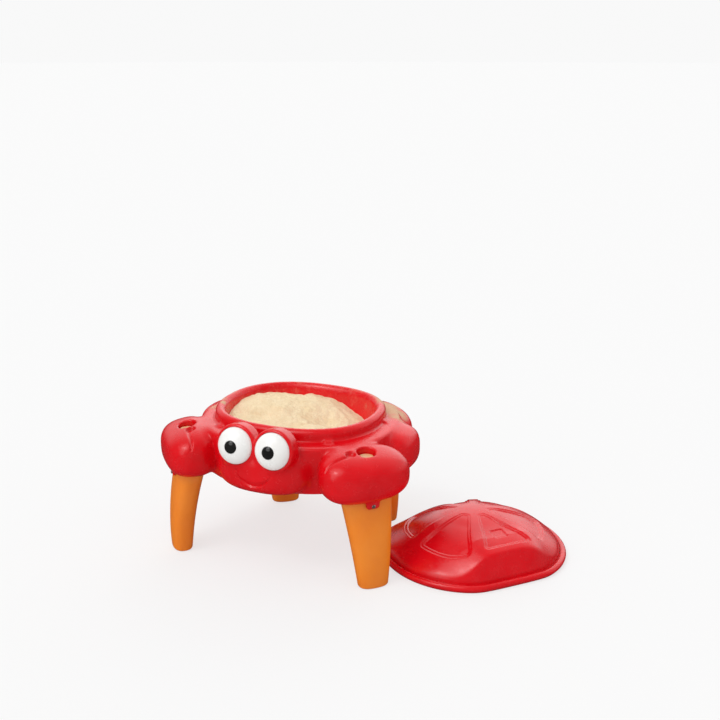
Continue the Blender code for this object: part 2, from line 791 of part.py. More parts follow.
def centre_on_floor(parts, roots):
    """Moves everything so that the origin lies under the middle of the whole object's box."""
    graph = bpy.context.evaluated_depsgraph_get()
    corners = []
    for item in parts.objects:
        if item.type == "MESH":
            seen = item.evaluated_get(graph)
            points = np.empty(len(seen.data.vertices) * 3)
            seen.data.vertices.foreach_get("co", points)
            corners += [item.matrix_world @ Vector(point) for point in points.reshape(-1, 3)]
    low = [min(corner[axis] for corner in corners) for axis in range(3)]
    high = [max(corner[axis] for corner in corners) for axis in range(3)]
    shift = Vector(((low[0] + high[0]) / 2, (low[1] + high[1]) / 2, low[2]))
    for root in roots:
        root.location -= shift
    print("floor point under the basin's middle:", [round(-value, 5) for value in shift])
    print("box:", [round(value, 4) for value in low], [round(value, 4) for value in high])


def main():
    clear_scene()
    parts = make_collection("sand_table")
    cutters = make_collection("cutters")
    red = make_material("moulded_red", RED, 0.35)
    orange = make_material("moulded_orange", ORANGE, 0.4)
    white = make_material("eye_white", WHITE, 0.3)
    black = make_material("pupil_black", BLACK, 0.12)
    grains = make_material("play_sand", SAND, 0.95)
    steel = make_material("screw_steel", STEEL, 0.3, 1.0)

    table = bpy.data.objects.new("table_base", None)
    parts.objects.link(table)
    made = [make_body(parts, cutters, red), make_sand(parts, grains)]
    for side, word in ((-1, "left"), (1, "right")):
        made += make_eye(side, word, parts, white, black)
    for name, x, y, turn, side in socket_places():
        made.append(make_leg(name, x, y, turn, side, parts, cutters, orange))
        made.append(make_screw(name, x, y, turn, side, parts, steel))
    made.append(make_lid(parts, red))
    for item in made + list(cutters.objects):
        place_now = item.matrix_world.copy()
        item.parent = table
        item.matrix_world = place_now
    bpy.context.view_layer.update()
    centre_on_floor(parts, [table])


main()
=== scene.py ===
# %% [markdown]
# # A crab-shaped sand table
# A low play table: one hollow red moulding with a basin in it, four orange legs,
# two white eyes with black pupils, play sand, and a red lid that lies on the floor beside it.
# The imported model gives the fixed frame, with every size and place. This lesson puts the
# looks on it: finer forms with soft moulded edges, and materials made from nodes.
# Every length is in metres, and +Z is up.

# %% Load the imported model
import json
import math

import bmesh
import bpy
import numpy as np
from mathutils import Matrix, Vector, noise
from mathutils.bvhtree import BVHTree

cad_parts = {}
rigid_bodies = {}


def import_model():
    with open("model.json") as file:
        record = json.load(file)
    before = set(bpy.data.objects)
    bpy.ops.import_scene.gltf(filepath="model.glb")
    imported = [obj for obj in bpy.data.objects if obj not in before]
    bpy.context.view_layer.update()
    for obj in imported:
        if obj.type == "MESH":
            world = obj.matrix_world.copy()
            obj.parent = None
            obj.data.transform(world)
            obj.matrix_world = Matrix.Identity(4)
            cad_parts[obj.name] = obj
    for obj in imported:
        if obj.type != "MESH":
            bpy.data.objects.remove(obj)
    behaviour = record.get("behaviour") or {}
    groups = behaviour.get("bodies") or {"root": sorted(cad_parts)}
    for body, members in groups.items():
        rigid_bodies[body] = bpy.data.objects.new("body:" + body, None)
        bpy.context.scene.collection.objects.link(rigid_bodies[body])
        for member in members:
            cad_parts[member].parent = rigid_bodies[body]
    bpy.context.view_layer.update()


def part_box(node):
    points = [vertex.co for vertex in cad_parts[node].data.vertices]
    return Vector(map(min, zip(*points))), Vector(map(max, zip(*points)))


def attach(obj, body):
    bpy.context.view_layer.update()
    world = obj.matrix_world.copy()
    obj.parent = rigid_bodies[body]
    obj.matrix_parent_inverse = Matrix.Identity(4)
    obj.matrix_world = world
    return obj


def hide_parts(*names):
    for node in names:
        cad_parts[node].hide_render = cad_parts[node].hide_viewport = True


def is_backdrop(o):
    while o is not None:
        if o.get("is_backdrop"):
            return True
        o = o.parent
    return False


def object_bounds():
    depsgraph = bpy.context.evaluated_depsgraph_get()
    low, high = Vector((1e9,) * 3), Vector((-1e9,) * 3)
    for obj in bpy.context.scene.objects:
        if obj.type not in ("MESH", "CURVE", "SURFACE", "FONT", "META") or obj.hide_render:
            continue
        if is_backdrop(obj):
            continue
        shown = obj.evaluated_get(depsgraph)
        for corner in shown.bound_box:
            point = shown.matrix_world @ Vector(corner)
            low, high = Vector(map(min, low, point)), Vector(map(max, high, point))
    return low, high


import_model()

sand_low, sand_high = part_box("sand_fill")
MIDDLE = Vector(((sand_low[0] + sand_high[0]) / 2, (sand_low[1] + sand_high[1]) / 2, 0))
TO_MIDDLE = Matrix.Translation(MIDDLE)
SIDES = (-1, 1)
print("the basin's middle on the floor:", [round(value, 4) for value in MIDDLE])

# %% [markdown]
# ## Camera, floor and light
# The camera's place is fitted to the photograph. It looks 16.7 degrees down and stands
# 22.9 degrees round. A photo studio gives soft light from everywhere, so the world does most
# of the work. Three suns from the front left add a direction: a broad one for soft shading,
# and a small and a low one for the highlights. A fourth, low behind, gives the tops their
# sheen. Suns light the near and the far floor alike, as no area lamp can. The backdrop is
# white for the camera, and for reflections that come from behind and above.

# %% Camera at the photograph's angle
CAMERA_SPOT = Vector((1.15372, -2.75484, 1.474))
CAMERA_TURN, CAMERA_DOWN = math.radians(22.897), math.radians(16.68)
CAMERA_LENS = 54.35

scene = bpy.context.scene
scene.view_settings.view_transform = "Standard"


def in_scene(name, data):
    """A new object of this name in the scene, with this data."""
    item = bpy.data.objects.new(name, data)
    scene.collection.objects.link(item)
    return item


camera = in_scene("studio_camera", bpy.data.cameras.new("studio_camera"))
camera.data.lens, camera.data.sensor_width = CAMERA_LENS, 36
right = Vector((math.cos(CAMERA_TURN), math.sin(CAMERA_TURN), 0))
ahead = Vector((-math.sin(CAMERA_TURN), math.cos(CAMERA_TURN), -math.tan(CAMERA_DOWN))).normalized()
facing = Matrix((right, right.cross(ahead), -ahead)).transposed().to_4x4()
camera.matrix_world = Matrix.Translation(CAMERA_SPOT) @ facing
scene.camera = camera
print("camera", round((CAMERA_SPOT - MIDDLE).length, 3), "m from the basin's middle")

# %% Node helpers
def add_node(tree, kind, **settings):
    """One node with its properties set. A name like in_Scale sets or joins an input socket."""
    node = tree.nodes.new(kind)
    for name, value in settings.items():
        if not name.startswith("in_"):
            setattr(node, name, value)
            continue
        key = name[3:].replace("_", " ")
        socket = node.inputs[int(key) if key.isdigit() else key]
        if isinstance(value, bpy.types.NodeSocket):
            tree.links.new(value, socket)
        else:
            socket.default_value = value
    return node


def sums(tree):
    """A function that adds one Math node to the tree and returns its result."""
    def sum_of(operation, *parts, clamp=False):
        inputs = {f"in_{index}": part for index, part in enumerate(parts)}
        return add_node(tree, "ShaderNodeMath", operation=operation, use_clamp=clamp, **inputs).outputs[0]
    return sum_of


def spread(tree, value, low, high, to_low=0.0, to_high=1.0, kind="LINEAR"):
    """A value mapped from one range to another."""
    return add_node(tree, "ShaderNodeMapRange", interpolation_type=kind, in_Value=value, in_From_Min=low,
                    in_From_Max=high, in_To_Min=to_low, in_To_Max=to_high).outputs["Result"]


def clouds(tree, scale, detail, roughness):
    """Noise in the object's own coordinates."""
    spot = add_node(tree, "ShaderNodeTexCoord").outputs["Object"]
    return add_node(tree, "ShaderNodeTexNoise", in_Vector=spot, in_Scale=scale,
                    in_Detail=detail, in_Roughness=roughness).outputs["Fac"]


def bump(tree, height, strength, distance, **more):
    return add_node(tree, "ShaderNodeBump", in_Height=height, in_Strength=strength,
                    in_Distance=distance, **more).outputs["Normal"]


def mixed(tree, kind, share, first, second):
    """The first at 0 and the second at 1: two colours (RGBA), values (FLOAT) or shaders."""
    if kind == "SHADER":
        return add_node(tree, "ShaderNodeMixShader", in_0=share, in_1=first, in_2=second).outputs[0]
    one, other, out = {"RGBA": (6, 7, 2), "FLOAT": (2, 3, 0)}[kind]
    inputs = {f"in_{one}": first, f"in_{other}": second}
    return add_node(tree, "ShaderNodeMix", data_type=kind, in_0=share, **inputs).outputs[out]


def node_tree_of(material_or_world):
    material_or_world.use_nodes = True
    tree = material_or_world.node_tree
    tree.nodes.clear()
    return tree

# %% Light from all round, and the suns
SKY_LIGHT, FRONT_SHINE = 0.75, 0.02
WHITE_LIGHT, BACKDROP = (1, 1, 1, 1), (0.945, 0.945, 0.945, 1)
SUNS = (("broad_sun", 0.72, 50, (-0.42, -0.70, 1.20)), ("small_sun", 0.30, 12, (-0.42, -0.70, 1.15)),
        ("low_sun", 0.22, 30, (-0.40, -0.90, 0.42)), ("back_sun", 0.60, 60, (-0.10, 0.90, 0.42)))

world = bpy.data.worlds.new("studio")
scene.world = world
tree = node_tree_of(world)
calc = sums(tree)
rays = add_node(tree, "ShaderNodeLightPath").outputs
direction = add_node(tree, "ShaderNodeTexCoord").outputs["Generated"]
parts = add_node(tree, "ShaderNodeSeparateXYZ", in_0=direction).outputs
behind = spread(tree, parts["Y"], -0.20, 0.65, 0.03, 1.0, "SMOOTHSTEP")
high_up = spread(tree, parts["Z"], 0.0, 0.30, 0.35, 1.0, "SMOOTHSTEP")
shine = calc("MULTIPLY", rays["Is Glossy Ray"], calc("MULTIPLY", behind, high_up))
seen = calc("MAXIMUM", rays["Is Camera Ray"], rays["Is Transmission Ray"])
lighting, glossless, backdrop = (
    add_node(tree, "ShaderNodeBackground", in_Color=colour, in_Strength=strength).outputs[0]
    for colour, strength in ((WHITE_LIGHT, SKY_LIGHT), (WHITE_LIGHT, FRONT_SHINE), (BACKDROP, 1.0)))
dim = mixed(tree, "SHADER", rays["Is Glossy Ray"], lighting, glossless)
whole = mixed(tree, "SHADER", calc("MAXIMUM", seen, shine), dim, backdrop)
add_node(tree, "ShaderNodeOutputWorld", in_Surface=whole)

for name, strength, width, side in SUNS:
    sun = in_scene(name, bpy.data.lights.new(name, "SUN"))
    sun.data.energy, sun.data.angle = strength, math.radians(width)
    sun.rotation_euler = Vector(side).to_track_quat("Z", "Y").to_euler()
print("sky light", SKY_LIGHT, "and", len(SUNS), "suns")

# %% Floor that keeps the shadow
FLOOR_REACH, FLOOR_COLOUR = 60.0, (0.75, 0.75, 0.75, 1)
GLOW_SHARE, GLOW, MIRRORED = 0.66, 1.02, 0.05

floor = in_scene("studio_floor", bpy.data.meshes.new("studio_floor"))
bm = bmesh.new()
bmesh.ops.create_circle(bm, cap_ends=True, segments=64, radius=FLOOR_REACH)
bm.to_mesh(floor.data)
bm.free()
floor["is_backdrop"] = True

paint = bpy.data.materials.new("studio_floor")
tree = node_tree_of(paint)
rays = add_node(tree, "ShaderNodeLightPath").outputs
matte = add_node(tree, "ShaderNodeBsdfDiffuse", in_Color=FLOOR_COLOUR).outputs[0]
glow, mirrored = (add_node(tree, "ShaderNodeEmission", in_Color=WHITE_LIGHT, in_Strength=strength).outputs[0]
                  for strength in (GLOW, MIRRORED))
share = sums(tree)("MULTIPLY", rays["Is Camera Ray"], GLOW_SHARE)
seen = mixed(tree, "SHADER", share, matte, glow)
whole = mixed(tree, "SHADER", rays["Is Glossy Ray"], seen, mirrored)
add_node(tree, "ShaderNodeOutputMaterial", in_Surface=whole)
floor.data.materials.append(paint)
print("floor of", FLOOR_REACH, "m radius")

# %% [markdown]
# ## Finishes that several pieces share
# Moulded toy plastic is never a flat colour. Its skin has a fine orange-peel texture from the
# mould, its colour drifts a little, and its proud edges rub pale. Dry sand leaves dust on
# whatever faces up near the basin. On the orange legs the same dust group paints the boss tops
# pale, a painted highlight. Each effect is a small shader group, so that the red and
# the orange plastic get the same effect with their own values.

# %% Node group maker
FLOAT = "NodeSocketFloat"


def shader_group(name, inputs, outputs):
    """An empty shader group, with its inputs' names and defaults and its outputs' names."""
    group = bpy.data.node_groups.new(name, "ShaderNodeTree")
    for label, value in inputs.items():
        socket = group.interface.new_socket(name=label, in_out="INPUT", socket_type=FLOAT)
        socket.default_value = value
    for label in outputs:
        kind = "NodeSocketVector" if label == "Normal" else FLOAT
        group.interface.new_socket(name=label, in_out="OUTPUT", socket_type=kind)
    return group, add_node(group, "NodeGroupInput").outputs


def marked(group, name):
    return add_node(group, "ShaderNodeAttribute", attribute_name=name).outputs["Fac"]

# %% Moulded skin: orange peel, slow drift of colour, uneven gloss
MOULDED_SKIN, given = shader_group(
    "moulded_skin", {"Peel scale": 520.0, "Peel depth": 0.05, "Drift scale": 7.0,
                     "Gloss low": 0.28, "Gloss high": 0.40}, ("Drift", "Roughness", "Normal"))
peel = clouds(MOULDED_SKIN, given["Peel scale"], 2.0, 0.5)
drift = clouds(MOULDED_SKIN, given["Drift scale"], 3.0, 0.55)
smear = clouds(MOULDED_SKIN, 34.0, 4.0, 0.65)
gloss = spread(MOULDED_SKIN, smear, 0.35, 0.68, given["Gloss low"], given["Gloss high"])
sink = bump(MOULDED_SKIN, drift, 0.06, 0.010)
skin = bump(MOULDED_SKIN, peel, given["Peel depth"], 0.0004, in_Normal=sink)
add_node(MOULDED_SKIN, "NodeGroupOutput", in_Drift=drift, in_Roughness=gloss, in_Normal=skin)
print("group", MOULDED_SKIN.name, "with", len(MOULDED_SKIN.nodes), "nodes")

# %% Rubbed edges, from an attribute that marks convex edges
RUBBED_EDGES, given = shader_group("rubbed_edges", {"Amount": 0.3}, ("Mask",))
calc = sums(RUBBED_EDGES)
patches = spread(RUBBED_EDGES, clouds(RUBBED_EDGES, 45.0, 3.0, 0.5), 0.40, 0.70)
both = calc("MULTIPLY", marked(RUBBED_EDGES, "worn"), patches)
add_node(RUBBED_EDGES, "NodeGroupOutput", in_Mask=calc("MULTIPLY", both, given["Amount"], clamp=True))
print("group", RUBBED_EDGES.name, "with", len(RUBBED_EDGES.nodes), "nodes")

# %% Sand dust, and a painted highlight on the legs' boss tops, from an attribute that marks both
DUST_AND_HIGHLIGHT_GROUP, given = shader_group("dust_and_boss_highlight", {"Speckle scale": 420.0, "Amount": 1.0}, ("Mask",))
calc = sums(DUST_AND_HIGHLIGHT_GROUP)
dust_and_highlight = marked(DUST_AND_HIGHLIGHT_GROUP, "dust_and_highlight")
specks = clouds(DUST_AND_HIGHLIGHT_GROUP, given["Speckle scale"], 4.0, 0.8)
both = calc("ADD", specks, clouds(DUST_AND_HIGHLIGHT_GROUP, 38.0, 4.0, 0.6))
level = calc("ADD", both, calc("MULTIPLY_ADD", dust_and_highlight, 1.6, -1.35))
mask = spread(DUST_AND_HIGHLIGHT_GROUP, level, -0.10, 0.75, kind="SMOOTHSTEP")
gated = calc("MULTIPLY", mask, calc("MULTIPLY", dust_and_highlight, 6.0, clamp=True))
add_node(DUST_AND_HIGHLIGHT_GROUP, "NodeGroupOutput", in_Mask=calc("MULTIPLY", gated, given["Amount"], clamp=True))
print("group", DUST_AND_HIGHLIGHT_GROUP.name, "with", len(DUST_AND_HIGHLIGHT_GROUP.nodes), "nodes")

# %% [markdown]
# ## Materials
# Each finish is a Principled shader with constant gloss values on its own sockets. Only what
# varies over the surface comes through nodes: the drift of colour, the rubbed edges, the dust,
# and the painted highlight on the legs' boss tops.

# %% Red and orange plastic
# The dust's colour and roughness; on the legs' boss tops they paint a highlight.
DUST_AND_HIGHLIGHT_COLOUR, DUST_AND_HIGHLIGHT_ROUGHNESS = (0.70, 0.50, 0.31, 1), 0.92


def principled(tree, colour, rough, normal, **constants):
    """The shader itself, joined to the material's output."""
    shader = add_node(tree, "ShaderNodeBsdfPrincipled", in_Base_Color=colour, in_Roughness=rough,
                      in_Normal=normal, **constants)
    add_node(tree, "ShaderNodeOutputMaterial", in_Surface=shader.outputs[0])


def plastic(name, colour, deep, gloss, rubbed=None, dust_and_highlight_amount=0.0, level=0.5, **skin_inputs):
    """Moulded plastic: two tones that drift, and rubbed edges and dust if asked for; on the legs the dust
    paints a highlight on the boss tops.
    """
    material = bpy.data.materials.new(name)
    tree = node_tree_of(material)

    def use(group, **inputs):
        return add_node(tree, "ShaderNodeGroup", node_tree=group, **inputs).outputs

    skin = use(MOULDED_SKIN, in_Gloss_low=gloss[0], in_Gloss_high=gloss[1], **skin_inputs)
    tone = mixed(tree, "RGBA", spread(tree, skin["Drift"], 0.36, 0.62), deep, colour)
    if rubbed:
        tone = mixed(tree, "RGBA", use(RUBBED_EDGES, in_Amount=0.20)["Mask"], tone, rubbed)
    rough = skin["Roughness"]
    if dust_and_highlight_amount:
        # Sand dust on the red; on the legs' boss tops this mask paints a highlight.
        dust_and_highlight_mask = use(DUST_AND_HIGHLIGHT_GROUP, in_Amount=dust_and_highlight_amount)["Mask"]
        tone = mixed(tree, "RGBA", dust_and_highlight_mask, tone, DUST_AND_HIGHLIGHT_COLOUR)
        rough = mixed(tree, "FLOAT", dust_and_highlight_mask, rough, DUST_AND_HIGHLIGHT_ROUGHNESS)
    principled(tree, tone, rough, skin["Normal"], in_IOR=1.5, in_Specular_IOR_Level=level)
    return material


RUBBED_RED = (0.84, 0.08, 0.08, 1)
RED = plastic("moulded_red", (0.77, 0.0025, 0.008, 1), (0.69, 0.0015, 0.006, 1),
              (0.20, 0.30), RUBBED_RED, dust_and_highlight_amount=0.85)
# The lid's red is a darker copy of the body's red: painted shade.
SHADED_LID_RED = plastic("moulded_red_lid_shaded", (0.73, 0.0022, 0.0080, 1), (0.65, 0.0013, 0.0065, 1),
                  (0.20, 0.30), RUBBED_RED)
# The orange's dust only reaches the boss tops, where it is a painted highlight.
ORANGE = plastic("moulded_orange", (0.93, 0.265, 0.016, 1), (0.88, 0.225, 0.010, 1),
                 (0.30, 0.44), (0.95, 0.46, 0.14, 1), dust_and_highlight_amount=0.9)
print("plastics:", RED.name, SHADED_LID_RED.name, ORANGE.name)

# %% Glossy white and black for the eyes
PAINTED = {"level": 0.9, "in_Peel_scale": 420.0, "in_Peel_depth": 0.03, "in_Drift_scale": 16.0}

WHITE = plastic("eye_white", (0.95, 0.945, 0.925, 1), (0.92, 0.91, 0.885, 1), (0.20, 0.30), **PAINTED)
BLACK = plastic("pupil_black", (0.014, 0.014, 0.013, 1), (0.008, 0.008, 0.008, 1), (0.07, 0.14), **PAINTED)
print("paints:", WHITE.name, BLACK.name)

# %% Dry sand, and zinc-plated steel
DARK_GRAIN, PALE_GRAIN = (0.62, 0.44, 0.26, 1), (0.93, 0.80, 0.58, 1)
OTHER_GRAINS = ((0.12, (0.87, 0.69, 0.43, 1)), (0.72, (0.93, 0.78, 0.53, 1)))

SAND_MATERIAL = bpy.data.materials.new("play_sand")
tree = node_tree_of(SAND_MATERIAL)
spot = add_node(tree, "ShaderNodeTexCoord").outputs["Object"]
grains = add_node(tree, "ShaderNodeTexVoronoi", in_Vector=spot, in_Scale=900.0).outputs
speck = add_node(tree, "ShaderNodeSeparateColor", in_0=grains["Color"]).outputs
ramp = add_node(tree, "ShaderNodeValToRGB", in_0=speck[0])
stops = ramp.color_ramp.elements
stops[0].color, stops[1].color = DARK_GRAIN, PALE_GRAIN
for position, colour in OTHER_GRAINS:
    stops.new(position).color = colour
dark = spread(tree, clouds(tree, 22.0, 5.0, 0.6), 0.40, 0.68, 0.0, 0.40)
tone = mixed(tree, "RGBA", dark, ramp.outputs["Color"], (0.76, 0.55, 0.30, 1))
rough = spread(tree, speck[1], 0.0, 1.0, 0.82, 0.98)
fine = bump(tree, grains["Distance"], 0.55, 0.0008)
lumps = bump(tree, clouds(tree, 170.0, 4.0, 0.7), 0.45, 0.0025, in_Normal=fine)
principled(tree, tone, rough, lumps, in_IOR=1.45, in_Specular_IOR_Level=0.2)

STEEL = bpy.data.materials.new("screw_steel")
tree = node_tree_of(STEEL)
cloudy = clouds(tree, 260.0, 4.0, 0.6)
tone = mixed(tree, "RGBA", cloudy, (0.72, 0.73, 0.74, 1), (0.86, 0.86, 0.84, 1))
rough = spread(tree, cloudy, 0.0, 1.0, 0.34, 0.52)
principled(tree, tone, rough, bump(tree, cloudy, 0.15, 0.0002), in_Metallic=1.0)
print("sand and steel:", SAND_MATERIAL.name, STEEL.name)

# %% [markdown]
# ## Shapes that the pieces share
# The basin's rim is a squarish oval, and most forms here are lofts: rings of points joined
# into a skin. The swollen claws and hips are spheres drawn towards a box. The same few
# functions therefore make nearly everything.

# %% Ovals, rings and lofts
RIM_LENGTH, RIM_DEPTH, RIM_TOP, RIM_WIDTH = 0.498, 0.432, 0.431, 0.030
OVAL_SQUARENESS = 2.3


def power(value, exponent):
    return np.sign(value) * np.abs(value) ** exponent


def turns(count):
    return (np.arange(count) + 0.5) * math.tau / count


def oval(length, depth, count, squareness=OVAL_SQUARENESS, angles=None):
    """A ring of points in the plan; 2 is an ellipse, and more is nearer to a box."""
    turn = turns(count) if angles is None else angles
    across = length / 2 * power(np.cos(turn), 2 / squareness)
    return np.stack([across, depth / 2 * power(np.sin(turn), 2 / squareness)], axis=1)


def outward(points, length=1.0):
    """Steps of this length, square to a closed line at each of its points."""
    along = np.roll(points, -1, axis=0) - np.roll(points, 1, axis=0)
    square = np.stack([along[:, 1], -along[:, 0]], axis=1)
    return length * square / np.linalg.norm(square, axis=1, keepdims=True)


def rim_path(offset, count=200):
    """The rim's outer oval, moved outwards by an offset."""
    points = oval(RIM_LENGTH, RIM_DEPTH, count)
    return points + outward(points, offset)


def level_ring(points, height):
    return np.column_stack([points, np.full(len(points), height)])


def rim_rings(profile):
    """Rings round the rim from (offset, height) pairs."""
    return [level_ring(rim_path(offset), height) for offset, height in profile]


def disc_rings(profile, count=72):
    """Rings of circles from (radius, height) pairs."""
    return [level_ring(oval(2 * radius, 2 * radius, count, 2), height) for radius, height in profile]


def soft_corner(out, height, radius, top, steps=6):
    """A quarter circle of (out, height) points: up into a side, or from the side over the top."""
    bend = np.linspace(0, math.pi / 2, steps)
    shares = [(radius * (1 - math.sin(angle)), radius * (1 - math.cos(angle))) for angle in bend]
    return [(out - y, height - x) if top else (out - x, height + y) for x, y in shares]


def loft(rings):
    """Points and faces of a skin through rings, closed at both ends."""
    count = len(rings[0])
    last = (len(rings) - 1) * count
    here = np.arange(last).reshape(-1, count)
    after = np.roll(here, -1, axis=1)
    faces = np.stack([here, after, after + count, here + count], axis=-1).reshape(-1, 4).tolist()
    faces += [list(range(count))[::-1], list(range(last, last + count))]
    return np.concatenate(rings), faces


def placed(form, x=0.0, y=0.0, turn=0.0, side=1):
    """A form turned and moved over the floor, and mirrored to the crab's other side for -1."""
    points, faces = form
    cos, sin = math.cos(turn), math.sin(turn)
    moved = points.copy()
    moved[:, 0] = (points[:, 0] * cos - points[:, 1] * sin + x) * side
    moved[:, 1] = points[:, 0] * sin + points[:, 1] * cos + y
    return moved, faces


def moved_by(form, matrix):
    points, faces = form
    table = np.array(matrix)
    return points @ table[:3, :3].T + table[:3, 3], faces


def smooth_step(value, low, high):
    share = np.clip((value - low) / (high - low), 0, 1)
    return share * share * (3 - 2 * share)


def fade(value, low, high):
    return 1 - smooth_step(value, low, high)


def distance(points, spot):
    """Each point's distance to a spot, or to an upright line through a spot of two numbers."""
    return np.linalg.norm(points[:, :len(spot)] - np.array(spot), axis=1)


print("the rim's oval is", RIM_LENGTH, "by", RIM_DEPTH, "m")

# %% From forms to mesh objects
def new_mesh_object(name, forms):
    """One mesh object from one or more closed forms, with faces pointing outwards."""
    bm = bmesh.new()
    for points, faces in forms:
        verts = [bm.verts.new(point) for point in points]
        for face in faces:
            bm.faces.new([verts[index] for index in face])
    bmesh.ops.recalc_face_normals(bm, faces=bm.faces)
    mesh = bpy.data.meshes.new(name)
    bm.to_mesh(mesh)
    bm.free()
    return in_scene(name, mesh)


def rework(mesh, change, result=None):
    """Changes a mesh's faces, in place or into another mesh."""
    bm = bmesh.new()
    bm.from_mesh(mesh)
    change(bm)
    bm.to_mesh(result or mesh)
    bm.free()


def cut_out(item, name, forms, overlapping=False):
    """Cuts forms out of an object with a live Boolean, and returns the cutter."""
    cutter = new_mesh_object(name, forms)
    cut = item.modifiers.new(name, "BOOLEAN")
    cut.operation, cut.solver, cut.use_self, cut.object = "DIFFERENCE", "EXACT", overlapping, cutter
    return cutter


def settle(item, name, *helpers):
    """Turns the evaluated object, modifiers and all, into a plain mesh object."""
    graph = bpy.context.evaluated_depsgraph_get()
    mesh = bpy.data.meshes.new_from_object(
        item.evaluated_get(graph), preserve_all_data_layers=True, depsgraph=graph)
    for used in (item, *helpers):
        bpy.data.objects.remove(used)
    mesh.name = name
    return in_scene(name, mesh)


def vectors(collection, key):
    values = np.empty(len(collection) * 3)
    collection.foreach_get(key, values)
    return values.reshape(-1, 3)


def mesh_points(mesh):
    return vectors(mesh.vertices, "co")


def point_normals(mesh):
    return vectors(mesh.vertex_normals, "vector")


def set_points(mesh, points):
    mesh.vertices.foreach_set("co", np.ravel(points))
    mesh.update()


def finish_piece(item, material, slot, body, *nodes, crease=35):
    """Smooth shading, the material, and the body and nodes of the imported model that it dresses."""
    mesh = item.data
    mesh.shade_smooth()
    mesh.set_sharp_from_angle(angle=math.radians(crease))
    mesh.materials.clear()
    mesh.materials.append(material)
    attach(item, body)
    if nodes:
        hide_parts(*nodes)
    mesh.calc_loop_triangles()
    print(item.name, len(mesh.loop_triangles), "triangles")

# %% Marks that the materials read
def store(mesh, name, values):
    layer = mesh.attributes.new(name, "FLOAT", "POINT")
    layer.data.foreach_set("value", np.ascontiguousarray(values, dtype=np.float32))


def neighbour_mean(mesh, values, rounds=1):
    """Each point's value averaged with those it shares an edge with."""
    edges = np.empty(len(mesh.edges) * 2, dtype=np.int64)
    mesh.edges.foreach_get("vertices", edges)
    ends = edges.reshape(-1, 2)
    count = np.bincount(edges, minlength=len(values)).clip(1)
    for _ in range(rounds):
        total = np.stack([
            np.bincount(ends[:, 0], column[ends[:, 1]], len(values))
            + np.bincount(ends[:, 1], column[ends[:, 0]], len(values)) for column in values.T], axis=1)
        values = total / count[:, None]
    return values


def mark_worn(mesh, first_bend=0.00025, full_bend=0.0008):
    """Marks sharp convex edges from 0 to 1, by how far a point stands proud of its neighbours."""
    points = mesh_points(mesh)
    proud = ((points - neighbour_mean(mesh, points, 2)) * point_normals(mesh)).sum(axis=1)
    bend = np.clip((proud - first_bend) / (full_bend - first_bend), 0, 1)
    soft = neighbour_mean(mesh, bend[:, None], 2)[:, 0]
    store(mesh, "worn", soft)
    return soft

# %% [markdown]
# ## Table body
# The real body is rotationally moulded: powder melts inside a turning mould, so every inside
# corner and edge comes out soft. Bevels on a dozen joined forms would be hard to place. A
# voxel remesh joins the swollen forms as clay would, and smoothing rounds each crease to a few
# millimetres, which is what the mould does. The basin, the leg sockets and the holes in the
# claws are cut out first, with Blender's Boolean.

# %% Hull, deck and rim
DECK_WIDTH, DECK_TOP, DECK_EDGE, DECK_ROUND = 0.044, 0.397, 0.394, 0.010
HULL_SIDE, HULL_BOTTOM, HULL_CORNER = 0.034, 0.252, 0.014
BASIN_FLOOR, BASIN_DRAFT = 0.284, 0.022
RIM_FALL, RIM_SQUARENESS = 0.36, 2.3


def hull():
    """The skin of the hull, the deck round the rim and the rim itself."""
    profile = [(HULL_CORNER - DECK_WIDTH, HULL_BOTTOM)]
    profile += soft_corner(HULL_SIDE, HULL_BOTTOM, HULL_CORNER, False, 5)
    profile += soft_corner(DECK_WIDTH, DECK_EDGE, DECK_ROUND, True, 5)
    profile += [(0.010, DECK_TOP), (0.0, DECK_TOP)]
    for across in np.linspace(1, -1, 13):
        fall = RIM_FALL * abs(across) ** RIM_SQUARENESS
        profile.append((-RIM_WIDTH * (0.5 - across / 2), RIM_TOP - RIM_WIDTH * fall))
    return loft(rim_rings(profile))


def basin():
    wall = -RIM_WIDTH
    return loft(rim_rings([
        (wall - BASIN_DRAFT - HULL_CORNER, BASIN_FLOOR), (wall - BASIN_DRAFT, BASIN_FLOOR + HULL_CORNER),
        (wall, RIM_TOP - 0.009), (wall, RIM_TOP + 0.02)]))

# %% Swollen forms: claws, hips and head
CLAW_X, CLAW_Y, CLAW_TURN = 0.274, -0.186, math.radians(47)
CLAW_BOTTOM, CLAW_TOP, INNER_SHARE, CLAW_LEAN = 0.250, 0.389, 0.90, 0.20
REAR_X, REAR_Y, REAR_TURN = 0.175, 0.200, math.radians(142)
SIDE_HIP_X, SIDE_HIP_Y, HEAD_Y = 0.263, 0.045, -0.212
PLAN_SQUARENESS, SIDE_SQUARENESS = 2.6, 2.8
# Length, width, bottom and top of each form.
CLAW, HEAD = (0.272, 0.150, CLAW_BOTTOM, CLAW_TOP), (0.288, 0.190, 0.249, 0.390)
SIDE_HIP, REAR_HIP = (0.170, 0.180, 0.252, 0.386), (0.230, 0.155, 0.244, 0.386)


def puff(length, width, bottom, top, rows=36, columns=72):
    """A sphere drawn towards a box, standing between two heights."""
    side = 2 / SIDE_SQUARENESS
    rings = []
    for level in np.linspace(-0.4985, 0.4985, rows) * math.pi:
        reach = math.cos(level) ** side
        height = (top + bottom) / 2 + (top - bottom) / 2 * float(power(math.sin(level), side))
        rings.append(level_ring(oval(length * reach, width * reach, columns, PLAN_SQUARENESS), height))
    return loft(rings)


